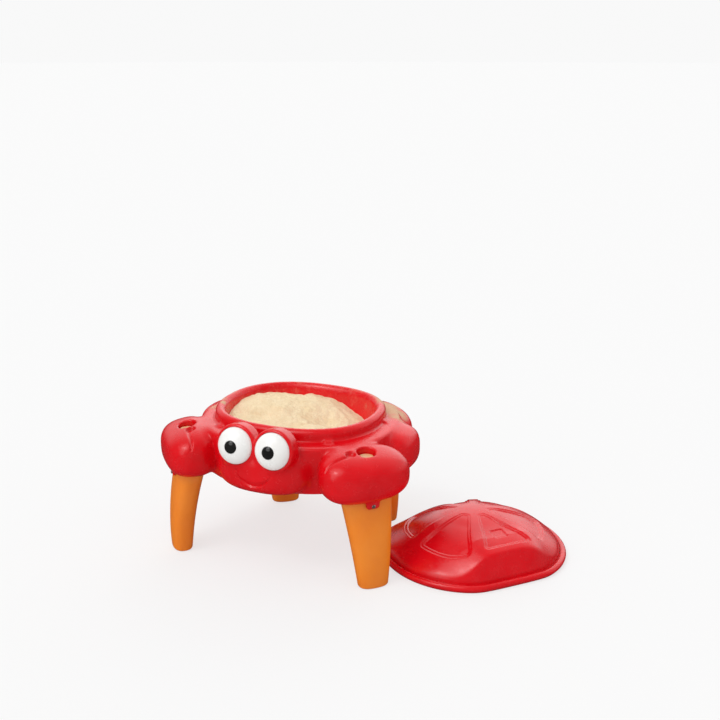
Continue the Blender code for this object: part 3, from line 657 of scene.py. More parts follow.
def claw():
    """A claw whose top leans outwards, away from the basin, with its inner end drawn in."""
    points, faces = puff(*CLAW)
    points[:, 0] *= np.where(points[:, 0] < 0, INNER_SHARE, 1.0)
    middle = (CLAW_TOP + CLAW_BOTTOM) / 2
    upper = np.clip((points[:, 2] - middle) / (CLAW_TOP - middle), 0, None)
    points[:, 2] += CLAW_LEAN * points[:, 1] * upper
    return points, faces

# %% Hoods, tabs and lugs
EYE_X, EYE_Y, EYE_HEIGHT, EYE_TILT, EYE_RADIUS = 0.057, -0.288, 0.395, math.radians(10), 0.052
HOOD_WALL, HOOD_EDGE, HOOD_BACK, HOOD_FRONT = 0.009, 0.0060, -0.038, 0.008
TAB_HALF, TAB_LOW, TAB_CORNER, TAB_DEPTH = 0.0205, CLAW_BOTTOM - 0.0125, 0.0085, 0.020
LUG_SHARES = (0.021, 0.479, 0.858, 0.642)
LUG_HALF, LUG_DEEP, LUG_FOOT, LUG_HIGH = 0.015, 0.014, DECK_TOP - 0.004, DECK_TOP + 0.012
WEDGE_HALF, WEDGE_DEEP, WEDGE_HIGH = 0.0105, 0.013, LUG_HIGH - 0.0072


def eye_axes(side):
    """The eye's own axes in the table's frame: its +Z looks out of the dome's middle."""
    place = Matrix.Translation((side * EYE_X, EYE_Y, EYE_HEIGHT))
    return place @ Matrix.Rotation(math.pi / 2 - EYE_TILT, 4, "X")


def hood(side):
    """A rounded red ring behind the eye, as a drum with soft edges."""
    radius = EYE_RADIUS + HOOD_WALL
    profile = soft_corner(radius, HOOD_BACK, HOOD_EDGE, False)
    profile += soft_corner(radius, HOOD_FRONT, HOOD_EDGE, True)
    return moved_by(loft(disc_rings(profile)), eye_axes(side))


def tab():
    """A rounded tongue below the socket, for the leg's screw."""
    outline = [(TAB_HALF, CLAW_BOTTOM + 0.025)] + soft_corner(TAB_HALF, TAB_LOW, TAB_CORNER, False)[::-1]
    outline += [(-x, z) for x, z in outline[::-1]]
    return loft([np.array([(x, deep - TAB_FACE, z) for x, z in outline]) for deep in (0.0, TAB_DEPTH)])


def lug(spot):
    """A small wedge on the deck against the rim, which keeps the lid in place."""
    facing = math.atan2(spot[1] / RIM_DEPTH ** 2, spot[0] / RIM_LENGTH ** 2) + math.pi / 2
    wide = np.array([(x * LUG_HALF, y * LUG_DEEP) for x, y in ((1, 1), (-1, 1), (-1, -1), (1, -1))])
    top = level_ring(wide, LUG_HIGH)
    top[2:] = [(x, -WEDGE_DEEP, WEDGE_HIGH) for x in (-WEDGE_HALF, WEDGE_HALF)]
    return placed(loft([level_ring(wide, LUG_FOOT), top]), *spot, facing)


LUG_SPOTS = oval(RIM_LENGTH, RIM_DEPTH, 0, angles=math.tau * np.array(LUG_SHARES)).tolist()

# %% Legs' sections and sockets
FOOT_WIDTH, FOOT_THICKNESS, WIDER, THICKER, SWELL = 0.086, 0.056, 0.060, 0.027, 0.7
LEG_BOW, LEG_LEAN, LEG_SQUARENESS = 0.030, 0.008, 2.5
LEG_SHOULDER, PLUG_NARROWER, PLUG_THINNER = 0.290, 0.022, 0.015
BOSS_TOP, BOSS_RADIUS, FIT = 0.374, 0.022, 0.0006


def socket_spot(x, y, turn, shift=0.012):
    """A socket lies a little along from the middle of its claw or hip."""
    return x + shift * math.cos(turn), y + shift * math.sin(turn), turn


FRONT_SOCKET, REAR_SOCKET = socket_spot(CLAW_X, CLAW_Y, CLAW_TURN), socket_spot(REAR_X, REAR_Y, REAR_TURN)


def leg_middle(height):
    share = min(1, height / CLAW_BOTTOM)
    return LEG_LEAN * (1 - share), -LEG_BOW * (1 - share ** 2)


def leg_section(height):
    share = min(1, height / CLAW_BOTTOM)
    rise = max(0, (height - CLAW_BOTTOM) / (LEG_SHOULDER - CLAW_BOTTOM))
    return (FOOT_WIDTH + WIDER * share - PLUG_NARROWER * rise,
            FOOT_THICKNESS + THICKER * share ** SWELL - PLUG_THINNER * rise)


def socket(clearance=FIT):
    """The room that a leg's top takes inside the body."""
    rings = []
    for height in (0.20, 0.225, CLAW_BOTTOM, 0.284, LEG_SHOULDER + clearance):
        width, thickness = (size + 2 * clearance for size in leg_section(min(height, LEG_SHOULDER)))
        inset = 0.006 if height > LEG_SHOULDER else 0.0
        outline = oval(width - 2 * inset, thickness - 2 * inset, 48, LEG_SQUARENESS)
        rings.append(level_ring(np.array(leg_middle(height)) + outline, height))
    boss = BOSS_RADIUS + clearance
    return loft(rings + disc_rings([(boss, LEG_SHOULDER + 0.003), (boss, BOSS_TOP + clearance)], 48))


SCREW_HEIGHT, TAB_WALL = CLAW_BOTTOM - 0.0042, 0.008
TAB_FACE = leg_section(SCREW_HEIGHT)[1] / 2 - leg_middle(SCREW_HEIGHT)[1] + FIT + TAB_WALL
print("the screws' tabs stand", round(TAB_FACE, 4), "m out from the legs' middles")

# %% Join the forms, cut them, and remesh them into one moulding
VOXEL, HOLE, SOFTENING, SOFT_ROUNDS = 0.0035, 0.026, 0.5, 5

forms = [hull(), placed(puff(*HEAD), 0, HEAD_Y)]
forms += [lug(spot) for spot in LUG_SPOTS]
cuts = [basin()]
hole = loft(disc_rings([
    (HOLE, BOSS_TOP - 0.012), (HOLE, CLAW_TOP - 0.004), (HOLE + 0.0015, CLAW_TOP + 0.02)]))
for side in SIDES:
    forms.append(placed(claw(), CLAW_X, CLAW_Y, CLAW_TURN, side))
    forms.append(placed(puff(*SIDE_HIP), SIDE_HIP_X, SIDE_HIP_Y, 0, side))
    forms.append(placed(puff(*REAR_HIP), REAR_X, REAR_Y, REAR_TURN, side))
    forms.append(hood(side))
    for spot in (FRONT_SOCKET, REAR_SOCKET):
        forms.append(placed(tab(), *spot, side))
        cuts.append(placed(socket(), *spot, side))
    cuts.append(placed(hole, *FRONT_SOCKET, side))

body = new_mesh_object("body_forms", forms)
cutter = cut_out(body, "body_cuts", cuts, overlapping=True)
clay = body.modifiers.new("Moulded", "REMESH")
clay.mode, clay.voxel_size = "VOXEL", VOXEL
soft = body.modifiers.new("Soft", "SMOOTH")
soft.factor, soft.iterations = SOFTENING, SOFT_ROUNDS
body = settle(body, "body_moulded", cutter)
print("moulded body:", len(body.data.polygons), "faces")

# %% [markdown]
# In the mould the head, the hull and the claws flow into each other. Smoothing alone would
# shrink the bulges too, so this step moves points outwards only: a hollow fills up towards
# its neighbours' mean, and a bulge stays. Sockets, holes and the rim are kept out of it.

# %% Fill the hollows between head, hull and claws
FILL_ROUNDS, NORMALS_EVERY, AT_EYES = 170, 8, 0.12
SOCKET_REACH, SOCKET_DEPTH = 0.098, 0.080


def oval_share(points):
    """How far out a point is in the plan, where 1 is the rim's outer edge."""
    shares = np.abs(2 * points[:, :2] / (RIM_LENGTH, RIM_DEPTH)) ** OVAL_SQUARENESS
    return shares.sum(axis=1) ** (1 / OVAL_SQUARENESS)


def may_fill(points):
    """1 where hollows fill up, 0 at the rim, the sockets and the holes in the claws."""
    height = points[:, 2]
    free = np.maximum(smooth_step(oval_share(points), 1.06, 1.13), smooth_step(-height, -0.35, -0.33))
    for side in SIDES:
        for x, y, turn in (FRONT_SOCKET, REAR_SOCKET):
            dx, dy = points[:, 0] * side - x, points[:, 1] - y
            cos, sin = math.cos(turn), math.sin(turn)
            away = np.hypot((dx * cos + dy * sin) / SOCKET_REACH, (dy * cos - dx * sin) / SOCKET_DEPTH)
            free *= 1 - fade(away, 0.9, 1.15) * fade(height, 0.275, 0.290)
            if turn == CLAW_TURN:
                free *= 1 - fade(np.hypot(dx, dy), 0.034, 0.042) * smooth_step(height, 0.345, 0.355)
        away = distance(points, (side * EYE_X, EYE_Y, EYE_HEIGHT))
        free *= AT_EYES + (1 - AT_EYES) * smooth_step(away, 0.066, 0.090)
    for spot in LUG_SPOTS:
        free *= 1 - fade(distance(points, spot), 0.024, 0.032) * smooth_step(height, 0.385, 0.392)
    return free


before = mesh_points(body.data)
points, free = before.copy(), may_fill(before)
for step in range(FILL_ROUNDS):
    if step % NORMALS_EVERY == 0:
        set_points(body.data, points)
        normals = point_normals(body.data)
    lack = ((neighbour_mean(body.data, points) - points) * normals).sum(axis=1)
    points += normals * (np.clip(lack, 0, None) * free)[:, None]
set_points(body.data, points)
moved = np.linalg.norm(points - before, axis=1).max()
print("hollows filled by up to", round(float(moved) * 1000, 1), "mm")

# %% [markdown]
# The eyes sit on flat seats with a sharp edge, so these are cut after the smoothing. The
# smile, the dimples and the pincer grooves are shallow dents. They are pressed into the skin
# by moving its points inwards along their normals, after the skin near them is divided finer.

# %% Cut the eye seats
seat = loft(disc_rings([(EYE_RADIUS + FIT, -0.0003), (EYE_RADIUS + FIT, 0.06)], 96))
cutter = cut_out(body, "seat_cuts", [moved_by(seat, eye_axes(side)) for side in SIDES])
body = settle(body, "table_body_moulded", cutter)
print("with eye seats:", len(body.data.polygons), "faces")

# %% Lines of the pincer grooves, and the dimples
GROOVE = ((-0.036, -0.003), (-0.050, -0.008), (-0.066, -0.010), (-0.081, -0.010), (-0.095, -0.011),
          (-0.106, -0.013), (-0.114, -0.016))
DIMPLE = (-0.034, 0.0)


def on_claw(spots, side):
    """Places in the claw's own axes, dropped on the skin of the claw."""
    flat = np.array([(x, y, 0.0) for x, y in spots])
    moved, _ = placed((flat, None), CLAW_X, CLAW_Y, CLAW_TURN, side)
    return np.array([surface.ray_cast(Vector((x, y, 0.6)), Vector((0, 0, -1)))[0] for x, y, _ in moved])


def distance_to_line(points, line):
    """Each point's distance to a bent line, and how far along it that is, from 0 to 1."""
    best, along = np.full(len(points), 1e9), np.zeros(len(points))
    for index, (start, end) in enumerate(zip(line, line[1:])):
        step = end - start
        share = np.clip((points - start) @ step / (step @ step), 0, 1)
        away = np.linalg.norm(points - start - share[:, None] * step, axis=1)
        closer = away < best
        best[closer] = away[closer]
        along[closer] = (index + share[closer]) / (len(line) - 1)
    return best, along


surface = BVHTree.FromObject(body, bpy.context.evaluated_depsgraph_get())
claw_dents = [(on_claw(GROOVE, side), on_claw([DIMPLE], side)[0]) for side in SIDES]
print("groove ends", [round(float(line[-1][2]), 3) for line, _ in claw_dents], "m high")

# %% Divide the skin near the dents
SMILE_HALF, SMILE_LOW, SMILE_HIGH, SMILE_RISE, SMILE_LIFT = 0.056, 0.286, 0.303, 0.045, 0.028
GROOVE_NEAR, DIMPLE_NEAR = 0.013, 0.024


def divide_near_dents(bm):
    points = mesh_points(body.data)
    near = (points[:, 1] < HEAD_Y - 0.05) & (abs(points[:, 0]) < SMILE_HALF + 0.012)
    near &= (points[:, 2] > 0.272) & (points[:, 2] < 0.345)
    for line, spot in claw_dents:
        near |= (distance_to_line(points, line)[0] < GROOVE_NEAR) | (distance(points, spot) < DIMPLE_NEAR)
    bm.verts.ensure_lookup_table()
    edges = [edge for edge in bm.edges if near[edge.verts[0].index] and near[edge.verts[1].index]]
    bmesh.ops.subdivide_edges(bm, edges=edges, cuts=1, use_grid_fill=True)


rework(body.data, divide_near_dents)
print("divided near the dents:", len(body.data.polygons), "faces")

# %% Press in the dents
# A groove's width and depth at its start, and how much less they are at its end.
GROOVE_WIDTH, GROOVE_DEPTH = (0.0052, 0.0022), (0.0055, 0.0025)
DIMPLE_DEPTH, SMILE_DEPTH, SMILE_BEND, SMILE_END = 0.0095, 0.0060, 0.68, SMILE_HALF * 1.02
CORNER_X, CORNER_HEIGHT, CORNER_REACH, CORNER_DEPTH = 0.0535, SMILE_LOW + SMILE_RISE * 0.92, 0.0052, 0.0022
CHIN_RISE, CHIN_HEIGHT = 0.0035, 0.281

body.data.update()
points, normals = mesh_points(body.data), point_normals(body.data)
across, front, height = points.T
press = np.zeros(len(points))
for line, spot in claw_dents:
    away, along = distance_to_line(points, line)
    width = GROOVE_WIDTH[0] - GROOVE_WIDTH[1] * along
    groove = (GROOVE_DEPTH[0] - GROOVE_DEPTH[1] * along) * np.exp(-(away / width) ** 2)
    dimple = DIMPLE_DEPTH * fade(distance(points, spot), 0.0095, 0.0165)
    press = np.maximum.reduce([press, groove, dimple])

bend = 1 - (1 - np.clip(across / SMILE_HALF, -1, 1) ** 2) ** SMILE_BEND
low, high = SMILE_LOW + SMILE_RISE * bend, SMILE_HIGH + SMILE_LIFT * bend
ends = np.sqrt(np.clip(1 - (abs(across) / SMILE_END) ** 2, 0, 1))
on_smile = (front < HEAD_Y - 0.05) & (height < 0.36) & (abs(across) < SMILE_END)
recess = np.clip((high - height) / (high - low + 1e-6), 0, 1)
recess *= smooth_step(height, low - 0.0010, low + 0.0018)
press = np.maximum(press, np.where(on_smile, SMILE_DEPTH * ends * recess, 0))
on_head = front < HEAD_Y - 0.04
for side in SIDES:
    away = np.hypot(across - side * CORNER_X, height - CORNER_HEIGHT)
    press = np.maximum(press, on_head * CORNER_DEPTH * np.exp(-(away / CORNER_REACH) ** 2))
press -= CHIN_RISE * np.exp(-(across / 0.050) ** 2 - ((height - CHIN_HEIGHT) / 0.012) ** 2) * on_head
local = points - normals * press[:, None]
set_points(body.data, local + np.array(MIDDLE))
print("dents pressed into", int((press > 0.0003).sum()), "points")

# %% Mark its worn edges and where sand was spilled
# Each spill's x, y, reach and strength.
SPILLS = ((0.232, 0.150, 0.052, 1.0), (0.190, 0.195, 0.045, 0.9), (0.262, 0.105, 0.034, 0.7),
          (-0.272, -0.030, 0.036, 0.55), (-0.262, 0.020, 0.04, 0.5), (-0.216, -0.072, 0.014, 0.9),
          (-0.235, -0.045, 0.014, 0.5), (0.120, 0.215, 0.06, 0.4), (-0.12, 0.215, 0.06, 0.4))
WALL_DUST, DECK_DUST = 0.17, 0.08

blots = np.zeros(len(local))
for x, y, reach, strength in SPILLS:
    blots = np.maximum(blots, strength * np.exp(-(distance(local, (x, y)) / reach) ** 2))
up = smooth_step(point_normals(body.data)[:, 2], 0.45, 0.85)
out = oval_share(local)
inner_wall = smooth_step(-out, -0.955, -0.90) * smooth_step(local[:, 2], 0.36, 0.40) * (local[:, 2] > 0.37)
dust_and_highlight = np.maximum.reduce([blots * up, WALL_DUST * inner_wall, DECK_DUST * up * (out < 1.15)])
store(body.data, "dust_and_highlight", dust_and_highlight)
worn = mark_worn(body.data)
body.name = "moulded_body"
finish_piece(body, RED, "moulded_red", "table", "table_body", crease=50)
print("worn share", round(float(worn.mean()), 3), "dusty share", round(float(dust_and_highlight.mean()), 3))

# %% [markdown]
# ## Lid
# The lid is a single moulded skin: a low dome with six sunk panels between ribs, an arch over
# the crab's eyes at the front, and a rolled flange that lands on the deck. Its plan is the
# rim's oval with a flattened front, so it is built as rings round that oval, from the top
# down the outside, round the flange's lip and back up the inside.

# %% The lid's plan and dome
LID_WALL, LID_HEIGHT, LID_BASE, LID_OUTSET, LID_FRONT = 0.004, 0.134, 0.032, 0.007, 0.235
LID_PLACE = Matrix.Translation((0.498, 0.122, 0)) @ Matrix.Rotation(math.radians(47.5), 4, "Z")
LID_STEPS, FRONT_STRETCH, FRONT_ROUNDNESS = 420, 1.13, 2.1
WALL_SLOPE, WALL_START = 2.9, 0.0275


def soft_extreme(first, second, softness, sign):
    """The larger (sign 1) or smaller (-1) of two values, with a soft change between them."""
    return (first + second + sign * np.sqrt((first - second) ** 2 + softness ** 2)) / 2


def lid_ring(offset, scale=1.0):
    """The rim's oval behind, and a longer and rounder front with a flattened end."""
    points = rim_path(offset, LID_STEPS)
    front = points[:, 1] < 0
    half_length, half_depth = RIM_LENGTH / 2 + offset, RIM_DEPTH / 2 + offset
    share = np.clip(-points[front, 1] / half_depth, 0, 1)
    bulge = (1 - share ** FRONT_ROUNDNESS) ** (1 / FRONT_ROUNDNESS)
    points[front, 0] = np.sign(points[front, 0]) * half_length * bulge
    points[front, 1] = -share * half_depth * FRONT_STRETCH
    points[:, 1] = soft_extreme(points[:, 1], -LID_FRONT - (offset - LID_OUTSET), 0.012, 1)
    return points * scale


foot = lid_ring(LID_OUTSET)
FOOT_DISTANCE = (foot * outward(foot)).sum(axis=1)


def dome_height(points, reach):
    """A round dome, a high brow over the crab's eyes, and a steep wall at the foot."""
    brow = np.exp(-(points[:, 0] / 0.120) ** 4) * np.clip(-points[:, 1] / 0.150, 0, 1) ** 2
    round_off = 1.0 + 0.2 * np.clip(points[:, 1] / 0.120, 0, 1)
    dome = (1 - reach ** 2.25) ** round_off
    shelf = 1 - 0.38 * (reach / 0.88) ** 2.2
    top = LID_BASE + (LID_HEIGHT - LID_BASE) * (dome + (shelf - dome) * brow)
    return soft_extreme(top, WALL_START + WALL_SLOPE * FOOT_DISTANCE * (1 - reach), 0.007, -1)


print("the lid's foot is", np.round(np.ptp(foot, axis=0), 3), "m across")

# %% Sunk panels between the ribs
RIB_ANGLES = np.radians((-174, -115, -58, -6, 59, 121, -174 + 360))
RIBS = np.stack([np.cos(RIB_ANGLES), np.sin(RIB_ANGLES)], axis=1)
PANEL_START, STEP_DEPTH, LEDGE, OUTER_SCALE = 0.040, 0.0030, 0.0072, 0.235
LABEL_MIDDLE, LABEL_HALF, LABEL_DEPTH = np.array((0.009, -0.137)), 0.0165, 0.0024


def panel_inset(points, reach):
    """How far inside its panel's rounded outline each point lies; below zero on a rib."""
    best = np.full(len(points), -1.0)
    far = np.linalg.norm(points, axis=1)
    outer = 0.785 + 0.045 * np.clip(-points[:, 1] / 0.16, 0, 1)
    rib_half = 0.0085 + 0.0085 * smooth_step(far, 0.04, 0.16)
    corner = 0.007 + 0.013 * np.clip(reach, 0, 1)
    for low, high in zip(RIBS, RIBS[1:]):
        sides = np.stack([
            low[0] * points[:, 1] - low[1] * points[:, 0] - rib_half,
            high[1] * points[:, 0] - high[0] * points[:, 1] - rib_half,
            far - PANEL_START, (outer - reach) * OUTER_SCALE], axis=1)
        lack = np.linalg.norm(np.clip(corner - sides, 0, None), axis=1)
        best = np.maximum(best, np.where(lack > 0, corner - lack, sides.min(axis=1)))
    return best


def panel_depth(points, reach, slope):
    """Two steps down, with a narrow ledge between them."""
    inset = panel_inset(points, reach)
    steps = smooth_step(inset, 0, slope) + smooth_step(inset, LEDGE, LEDGE + slope)
    near_crown = 0.35 + 0.65 * smooth_step(np.linalg.norm(points, axis=1), 0.045, 0.105)
    return STEP_DEPTH * steps * near_crown


def label_depth(points):
    """The bare square on the front panel, a shallow dent with round corners."""
    away = np.abs(points - LABEL_MIDDLE) - LABEL_HALF
    outside = np.linalg.norm(np.clip(away, 0, None), axis=1) + np.minimum(away.max(axis=1), 0)
    return LABEL_DEPTH * fade(outside, 0.0015, 0.0038)

# %% Rings of the outer and the inner skin
OUTER_ROWS, INNER_ROWS, OUTER_SLOPE, INNER_SLOPE = 150, 40, 0.0030, 0.006
TOP_SHARE, FIRST_REACH, WALL_REACH, LAST_REACH = 0.78, 0.004, 0.86, 0.9985
ROLL_RADIUS, ROLL_OUT, ROLL_HEIGHT = 0.0095, 0.0100, 0.0115
ROLL = [(ROLL_OUT + ROLL_RADIUS * math.cos(turn), ROLL_HEIGHT + ROLL_RADIUS * math.sin(turn))
        for turn in np.radians(np.arange(150, -61, -15))]
# From the wall's foot down the outside, and back up the inside: (outwards, height).
FLANGE = [(0.0, 0.0235), (0.0004, 0.0200), (0.0010, 0.0175), *ROLL, (0.0138, 0.0012), (0.0128, 0.0),
          (0.0116, 0.0), (0.0110, 0.0012), (0.0110, 0.0095), (0.0095, 0.0125), (0.0065, 0.0128),
          (-0.0010, 0.0128), (-0.0036, 0.0155), (-0.0040, 0.0240)]


def dome_rows(rows, thickness, slope):
    """The dome's rings from the top down, sunk along its normals by the panels and a thickness."""
    top = int(rows * TOP_SHARE)
    wall = np.linspace(WALL_REACH, LAST_REACH, rows - top + 1)[1:]
    reaches = np.concatenate([np.linspace(FIRST_REACH, WALL_REACH, top), wall])
    plain = np.array([level_ring(lid_ring(LID_OUTSET, reach), 0.0) for reach in reaches])
    for row, reach in zip(plain, reaches):
        row[:, 2] = dome_height(row, reach)
    round_way = np.roll(plain, -1, axis=1) - np.roll(plain, 1, axis=1)
    normal = np.cross(np.gradient(plain, axis=0), round_way)
    normal /= np.linalg.norm(normal, axis=2, keepdims=True)
    normal[normal[..., 2] < 0] *= -1
    rings = []
    for row, reach, out in zip(plain, reaches, normal):
        sunk = panel_depth(row[:, :2], reach, slope) + label_depth(row[:, :2]) + thickness
        rings.append(row - out * sunk[:, None])
    return rings


rings = dome_rows(OUTER_ROWS, 0.0, OUTER_SLOPE)
rings += [level_ring(lid_ring(LID_OUTSET + out), height) for out, height in FLANGE]
rings += dome_rows(INNER_ROWS, LID_WALL, INNER_SLOPE)[::-1][1:]
lid = new_mesh_object("dome_lid", [loft(rings)])
lid.data.transform(TO_MIDDLE @ LID_PLACE)
mark_worn(lid.data)
finish_piece(lid, SHADED_LID_RED, "moulded_red", "lid", "lid", crease=60)
points = mesh_points(lid.data)
print("lid box", np.round(points.min(axis=0), 4), np.round(points.max(axis=0), 4))

# %% [markdown]
# ## Legs
# A leg follows a rule: its section is a squarish oval that grows from the foot to the claw,
# while its middle bows outwards and leans. That suits Geometry Nodes. A plain tube of points
# carries four marks (turn, height, inset and boss), and the tree turns them into the leg.
# With named inputs for the sizes, the same tree makes all four legs.

# %% Geometry Nodes helpers
GEOMETRY, OBJECT, MATERIAL = "NodeSocketGeometry", "NodeSocketObject", "NodeSocketMaterial"
KINDS = {float: FLOAT, int: "NodeSocketInt"}


def geometry_tree(name, inputs):
    """A tree with a geometry in and out, and named inputs that have a default or only a kind."""
    tree = bpy.data.node_groups.new(name, "GeometryNodeTree")
    for label, value in {"Geometry": GEOMETRY, **inputs}.items():
        kind = KINDS.get(type(value), value)
        socket = tree.interface.new_socket(name=label, in_out="INPUT", socket_type=kind)
        if kind != value:
            socket.default_value = value
    tree.interface.new_socket(name="Geometry", in_out="OUTPUT", socket_type=GEOMETRY)
    return tree, add_node(tree, "NodeGroupInput").outputs


def end_tree(tree, geometry, material):
    """Makes instances real, sets the material, and leads out of the tree."""
    real = add_node(tree, "GeometryNodeRealizeInstances", in_0=geometry).outputs[0]
    finish = add_node(tree, "GeometryNodeSetMaterial", in_Geometry=real, in_Material=material)
    add_node(tree, "NodeGroupOutput", in_0=finish.outputs[0])


def read_mark(tree, name, kind="FLOAT"):
    reader = add_node(tree, "GeometryNodeInputNamedAttribute", data_type=kind, in_Name=name)
    return reader.outputs["Attribute"]


def add_tree(item, tree, values):
    """Puts the tree on an object, with its inputs set by their identifiers."""
    modifier = item.modifiers.new(tree.name, "NODES")
    modifier.node_group = tree
    for socket in tree.interface.items_tree:
        if socket.in_out == "INPUT" and socket.name in values:
            modifier[socket.identifier] = values[socket.name]

# %% The leg's rule as a tree
leg_tree, size = geometry_tree("bowed_leg", {
    "Foot width": FOOT_WIDTH, "Foot thickness": FOOT_THICKNESS, "Wider": WIDER, "Thicker": THICKER,
    "Claw height": CLAW_BOTTOM, "Shoulder": LEG_SHOULDER, "Plug narrower": PLUG_NARROWER,
    "Plug thinner": PLUG_THINNER, "Bow": LEG_BOW, "Lean": LEG_LEAN, "Boss radius": BOSS_RADIUS,
    "Squareness": LEG_SQUARENESS, "Swell": SWELL, "Finish": MATERIAL})
calc = sums(leg_tree)
turn, height, inset, boss = (read_mark(leg_tree, name) for name in ("turn", "height", "inset", "boss"))
share = calc("MINIMUM", calc("DIVIDE", height, size["Claw height"]), 1.0)
rise = calc("DIVIDE", calc("SUBTRACT", height, size["Claw height"]),
            calc("SUBTRACT", size["Shoulder"], size["Claw height"]))
rise = calc("MINIMUM", calc("MAXIMUM", rise, 0.0), 1.0)
exponent = calc("DIVIDE", 2.0, size["Squareness"])
boss_reach = calc("SUBTRACT", size["Boss radius"], inset)


def outline(wave, foot, more, grow, narrower, shift):
    """One way across the leg: its squarish section below the shoulder, the round boss above."""
    wide = calc("SUBTRACT", calc("MULTIPLY_ADD", more, grow, foot), calc("MULTIPLY", narrower, rise))
    half = calc("SUBTRACT", calc("MULTIPLY", wide, 0.5), inset)
    bent = calc("MULTIPLY", calc("POWER", calc("ABSOLUTE", wave), exponent), calc("SIGN", wave))
    leg = calc("MULTIPLY_ADD", bent, half, shift)
    return calc("MULTIPLY_ADD", calc("SUBTRACT", calc("MULTIPLY", wave, boss_reach), leg), boss, leg)


lean = calc("MULTIPLY", size["Lean"], calc("SUBTRACT", 1.0, share))
bow = calc("MULTIPLY", size["Bow"], calc("SUBTRACT", calc("MULTIPLY", share, share), 1.0))
across = outline(calc("COSINE", turn), size["Foot width"], size["Wider"], share, size["Plug narrower"], lean)
deep = outline(calc("SINE", turn), size["Foot thickness"], size["Thicker"],
               calc("POWER", share, size["Swell"]), size["Plug thinner"], bow)
spot = add_node(leg_tree, "ShaderNodeCombineXYZ", in_X=across, in_Y=deep, in_Z=height).outputs[0]
shape = add_node(leg_tree, "GeometryNodeSetPosition", in_Geometry=size["Geometry"], in_Position=spot)
end_tree(leg_tree, shape.outputs[0], size["Finish"])
print("leg tree:", len(leg_tree.nodes), "nodes")

# %% Rows of the leg, and the four legs
LEG_STEPS, LEG_EDGE, BOSS_EDGE = 72, 0.006, 0.003
PLACES = (("front_left", FRONT_SOCKET, -1), ("front_right", FRONT_SOCKET, 1),
          ("rear_left", REAR_SOCKET, -1), ("rear_right", REAR_SOCKET, 1))

rows = [(height, -out, 0) for out, height in soft_corner(0, 0, LEG_EDGE, False, 5)]
rows += [(height, 0.0, 0) for height in np.linspace(0.012, CLAW_BOTTOM, 26)]
rows += [(height, -out, 0) for out, height in soft_corner(0, LEG_SHOULDER, LEG_EDGE, True, 5)]
rows += [(LEG_SHOULDER + 0.0015, 0.0, 1), (0.33, 0.0, 1)]
rows += [(height, -out, 1) for out, height in soft_corner(0, BOSS_TOP, BOSS_EDGE, True, 5)]
rows += [(BOSS_TOP, 0.006, 1), (BOSS_TOP, 0.014, 1)]
leg_marks = {"turn": np.tile(turns(LEG_STEPS), len(rows))}
for name, column in zip(("height", "inset", "boss"), zip(*rows)):
    leg_marks[name] = np.repeat(column, LEG_STEPS)

for name, (x, y, turn), side in PLACES:
    tube = new_mesh_object("tube", [loft(disc_rings([(1, row) for row in range(len(rows))], LEG_STEPS))])
    for label, values in leg_marks.items():
        store(tube.data, label, values)
    add_tree(tube, leg_tree, {"Finish": ORANGE})
    leg = settle(tube, "bowed_leg_" + name)
    leg.data.transform(Matrix.Translation((x, y, 0)) @ Matrix.Rotation(turn, 4, "Z"))
    leg.data.transform(TO_MIDDLE @ Matrix.Diagonal((side, 1, 1, 1)))
    rework(leg.data, lambda bm: bmesh.ops.recalc_face_normals(bm, faces=bm.faces))
    mark_worn(leg.data, 0.0004, 0.0010)
    height = mesh_points(leg.data)[:, 2]
    # Painted highlight: the boss tops get the dust mark, so they render pale as if lit.
    store(leg.data, "dust_and_highlight", 0.52 * smooth_step(height, BOSS_TOP - 0.003, BOSS_TOP - 0.0005))
    finish_piece(leg, ORANGE, "moulded_orange", "table", "leg_" + name, crease=40)

# %% [markdown]
# ## Eyes
# Each eye is a white dome with a black dome let into its middle. Both are turned shapes, so a
# profile is swept round the eye's axis. The white dome's edge rolls in a little where it meets
# the red hood, which leaves the fine dark line seen there.

# %% Turned domes
BULGE, LIP, PUPIL_RADIUS, PUPIL_BULGE = 0.036, 0.0036, 0.0175, 0.0049
ON_AXIS, PUPIL_SINK = 0.0004, 0.0021

seat_radius = PUPIL_RADIUS + 0.0005
seat_height = BULGE * math.sqrt(1 - (seat_radius / EYE_RADIUS) ** 2)
seat_floor = seat_height - PUPIL_SINK
start = math.asin((seat_radius + 0.0016) / EYE_RADIUS)
white_profile = [
    (ON_AXIS, seat_floor), (seat_radius - 0.0006, seat_floor), (seat_radius, seat_floor + 0.0006),
    (seat_radius, seat_height - 0.0008), (seat_radius + 0.0008, seat_height + 0.0001),
    *((EYE_RADIUS * math.sin(angle), LIP + (BULGE - LIP) * math.cos(angle))
      for angle in np.linspace(start, math.pi / 2, 34)),
    (EYE_RADIUS - 0.0003, 0.0020), (EYE_RADIUS - 0.0012, 0.0006), (EYE_RADIUS - 0.003, 0.0), (ON_AXIS, 0.0)]
base = seat_floor + 0.0003
black_profile = [
    (ON_AXIS, base), (PUPIL_RADIUS - 0.001, base), (PUPIL_RADIUS, base + 0.0008),
    *((PUPIL_RADIUS * math.sin(angle), base + PUPIL_SINK + PUPIL_BULGE * math.cos(angle))
      for angle in np.linspace(math.pi / 2, 0.012, 22))]

for side, word in zip(SIDES, ("left", "right")):
    for name, profile, finish, slot, node in (
            ("eye_dome_", white_profile, WHITE, "eye_white", "eye_"),
            ("pupil_dome_", black_profile, BLACK, "pupil_black", "pupil_")):
        form = moved_by(loft(disc_rings(profile, 96)), TO_MIDDLE @ eye_axes(side))
        finish_piece(new_mesh_object(name + word, [form]), finish, slot, "table", node + word, crease=40)

# %% [markdown]
# ## Leg screws
# One pan-head screw holds each leg, through the tab below its socket. The four are alike, so
# one is modelled and Geometry Nodes set it on four points. Each point carries the direction
# that its tab faces, and a small random turn, since no two screws stop at the same angle.

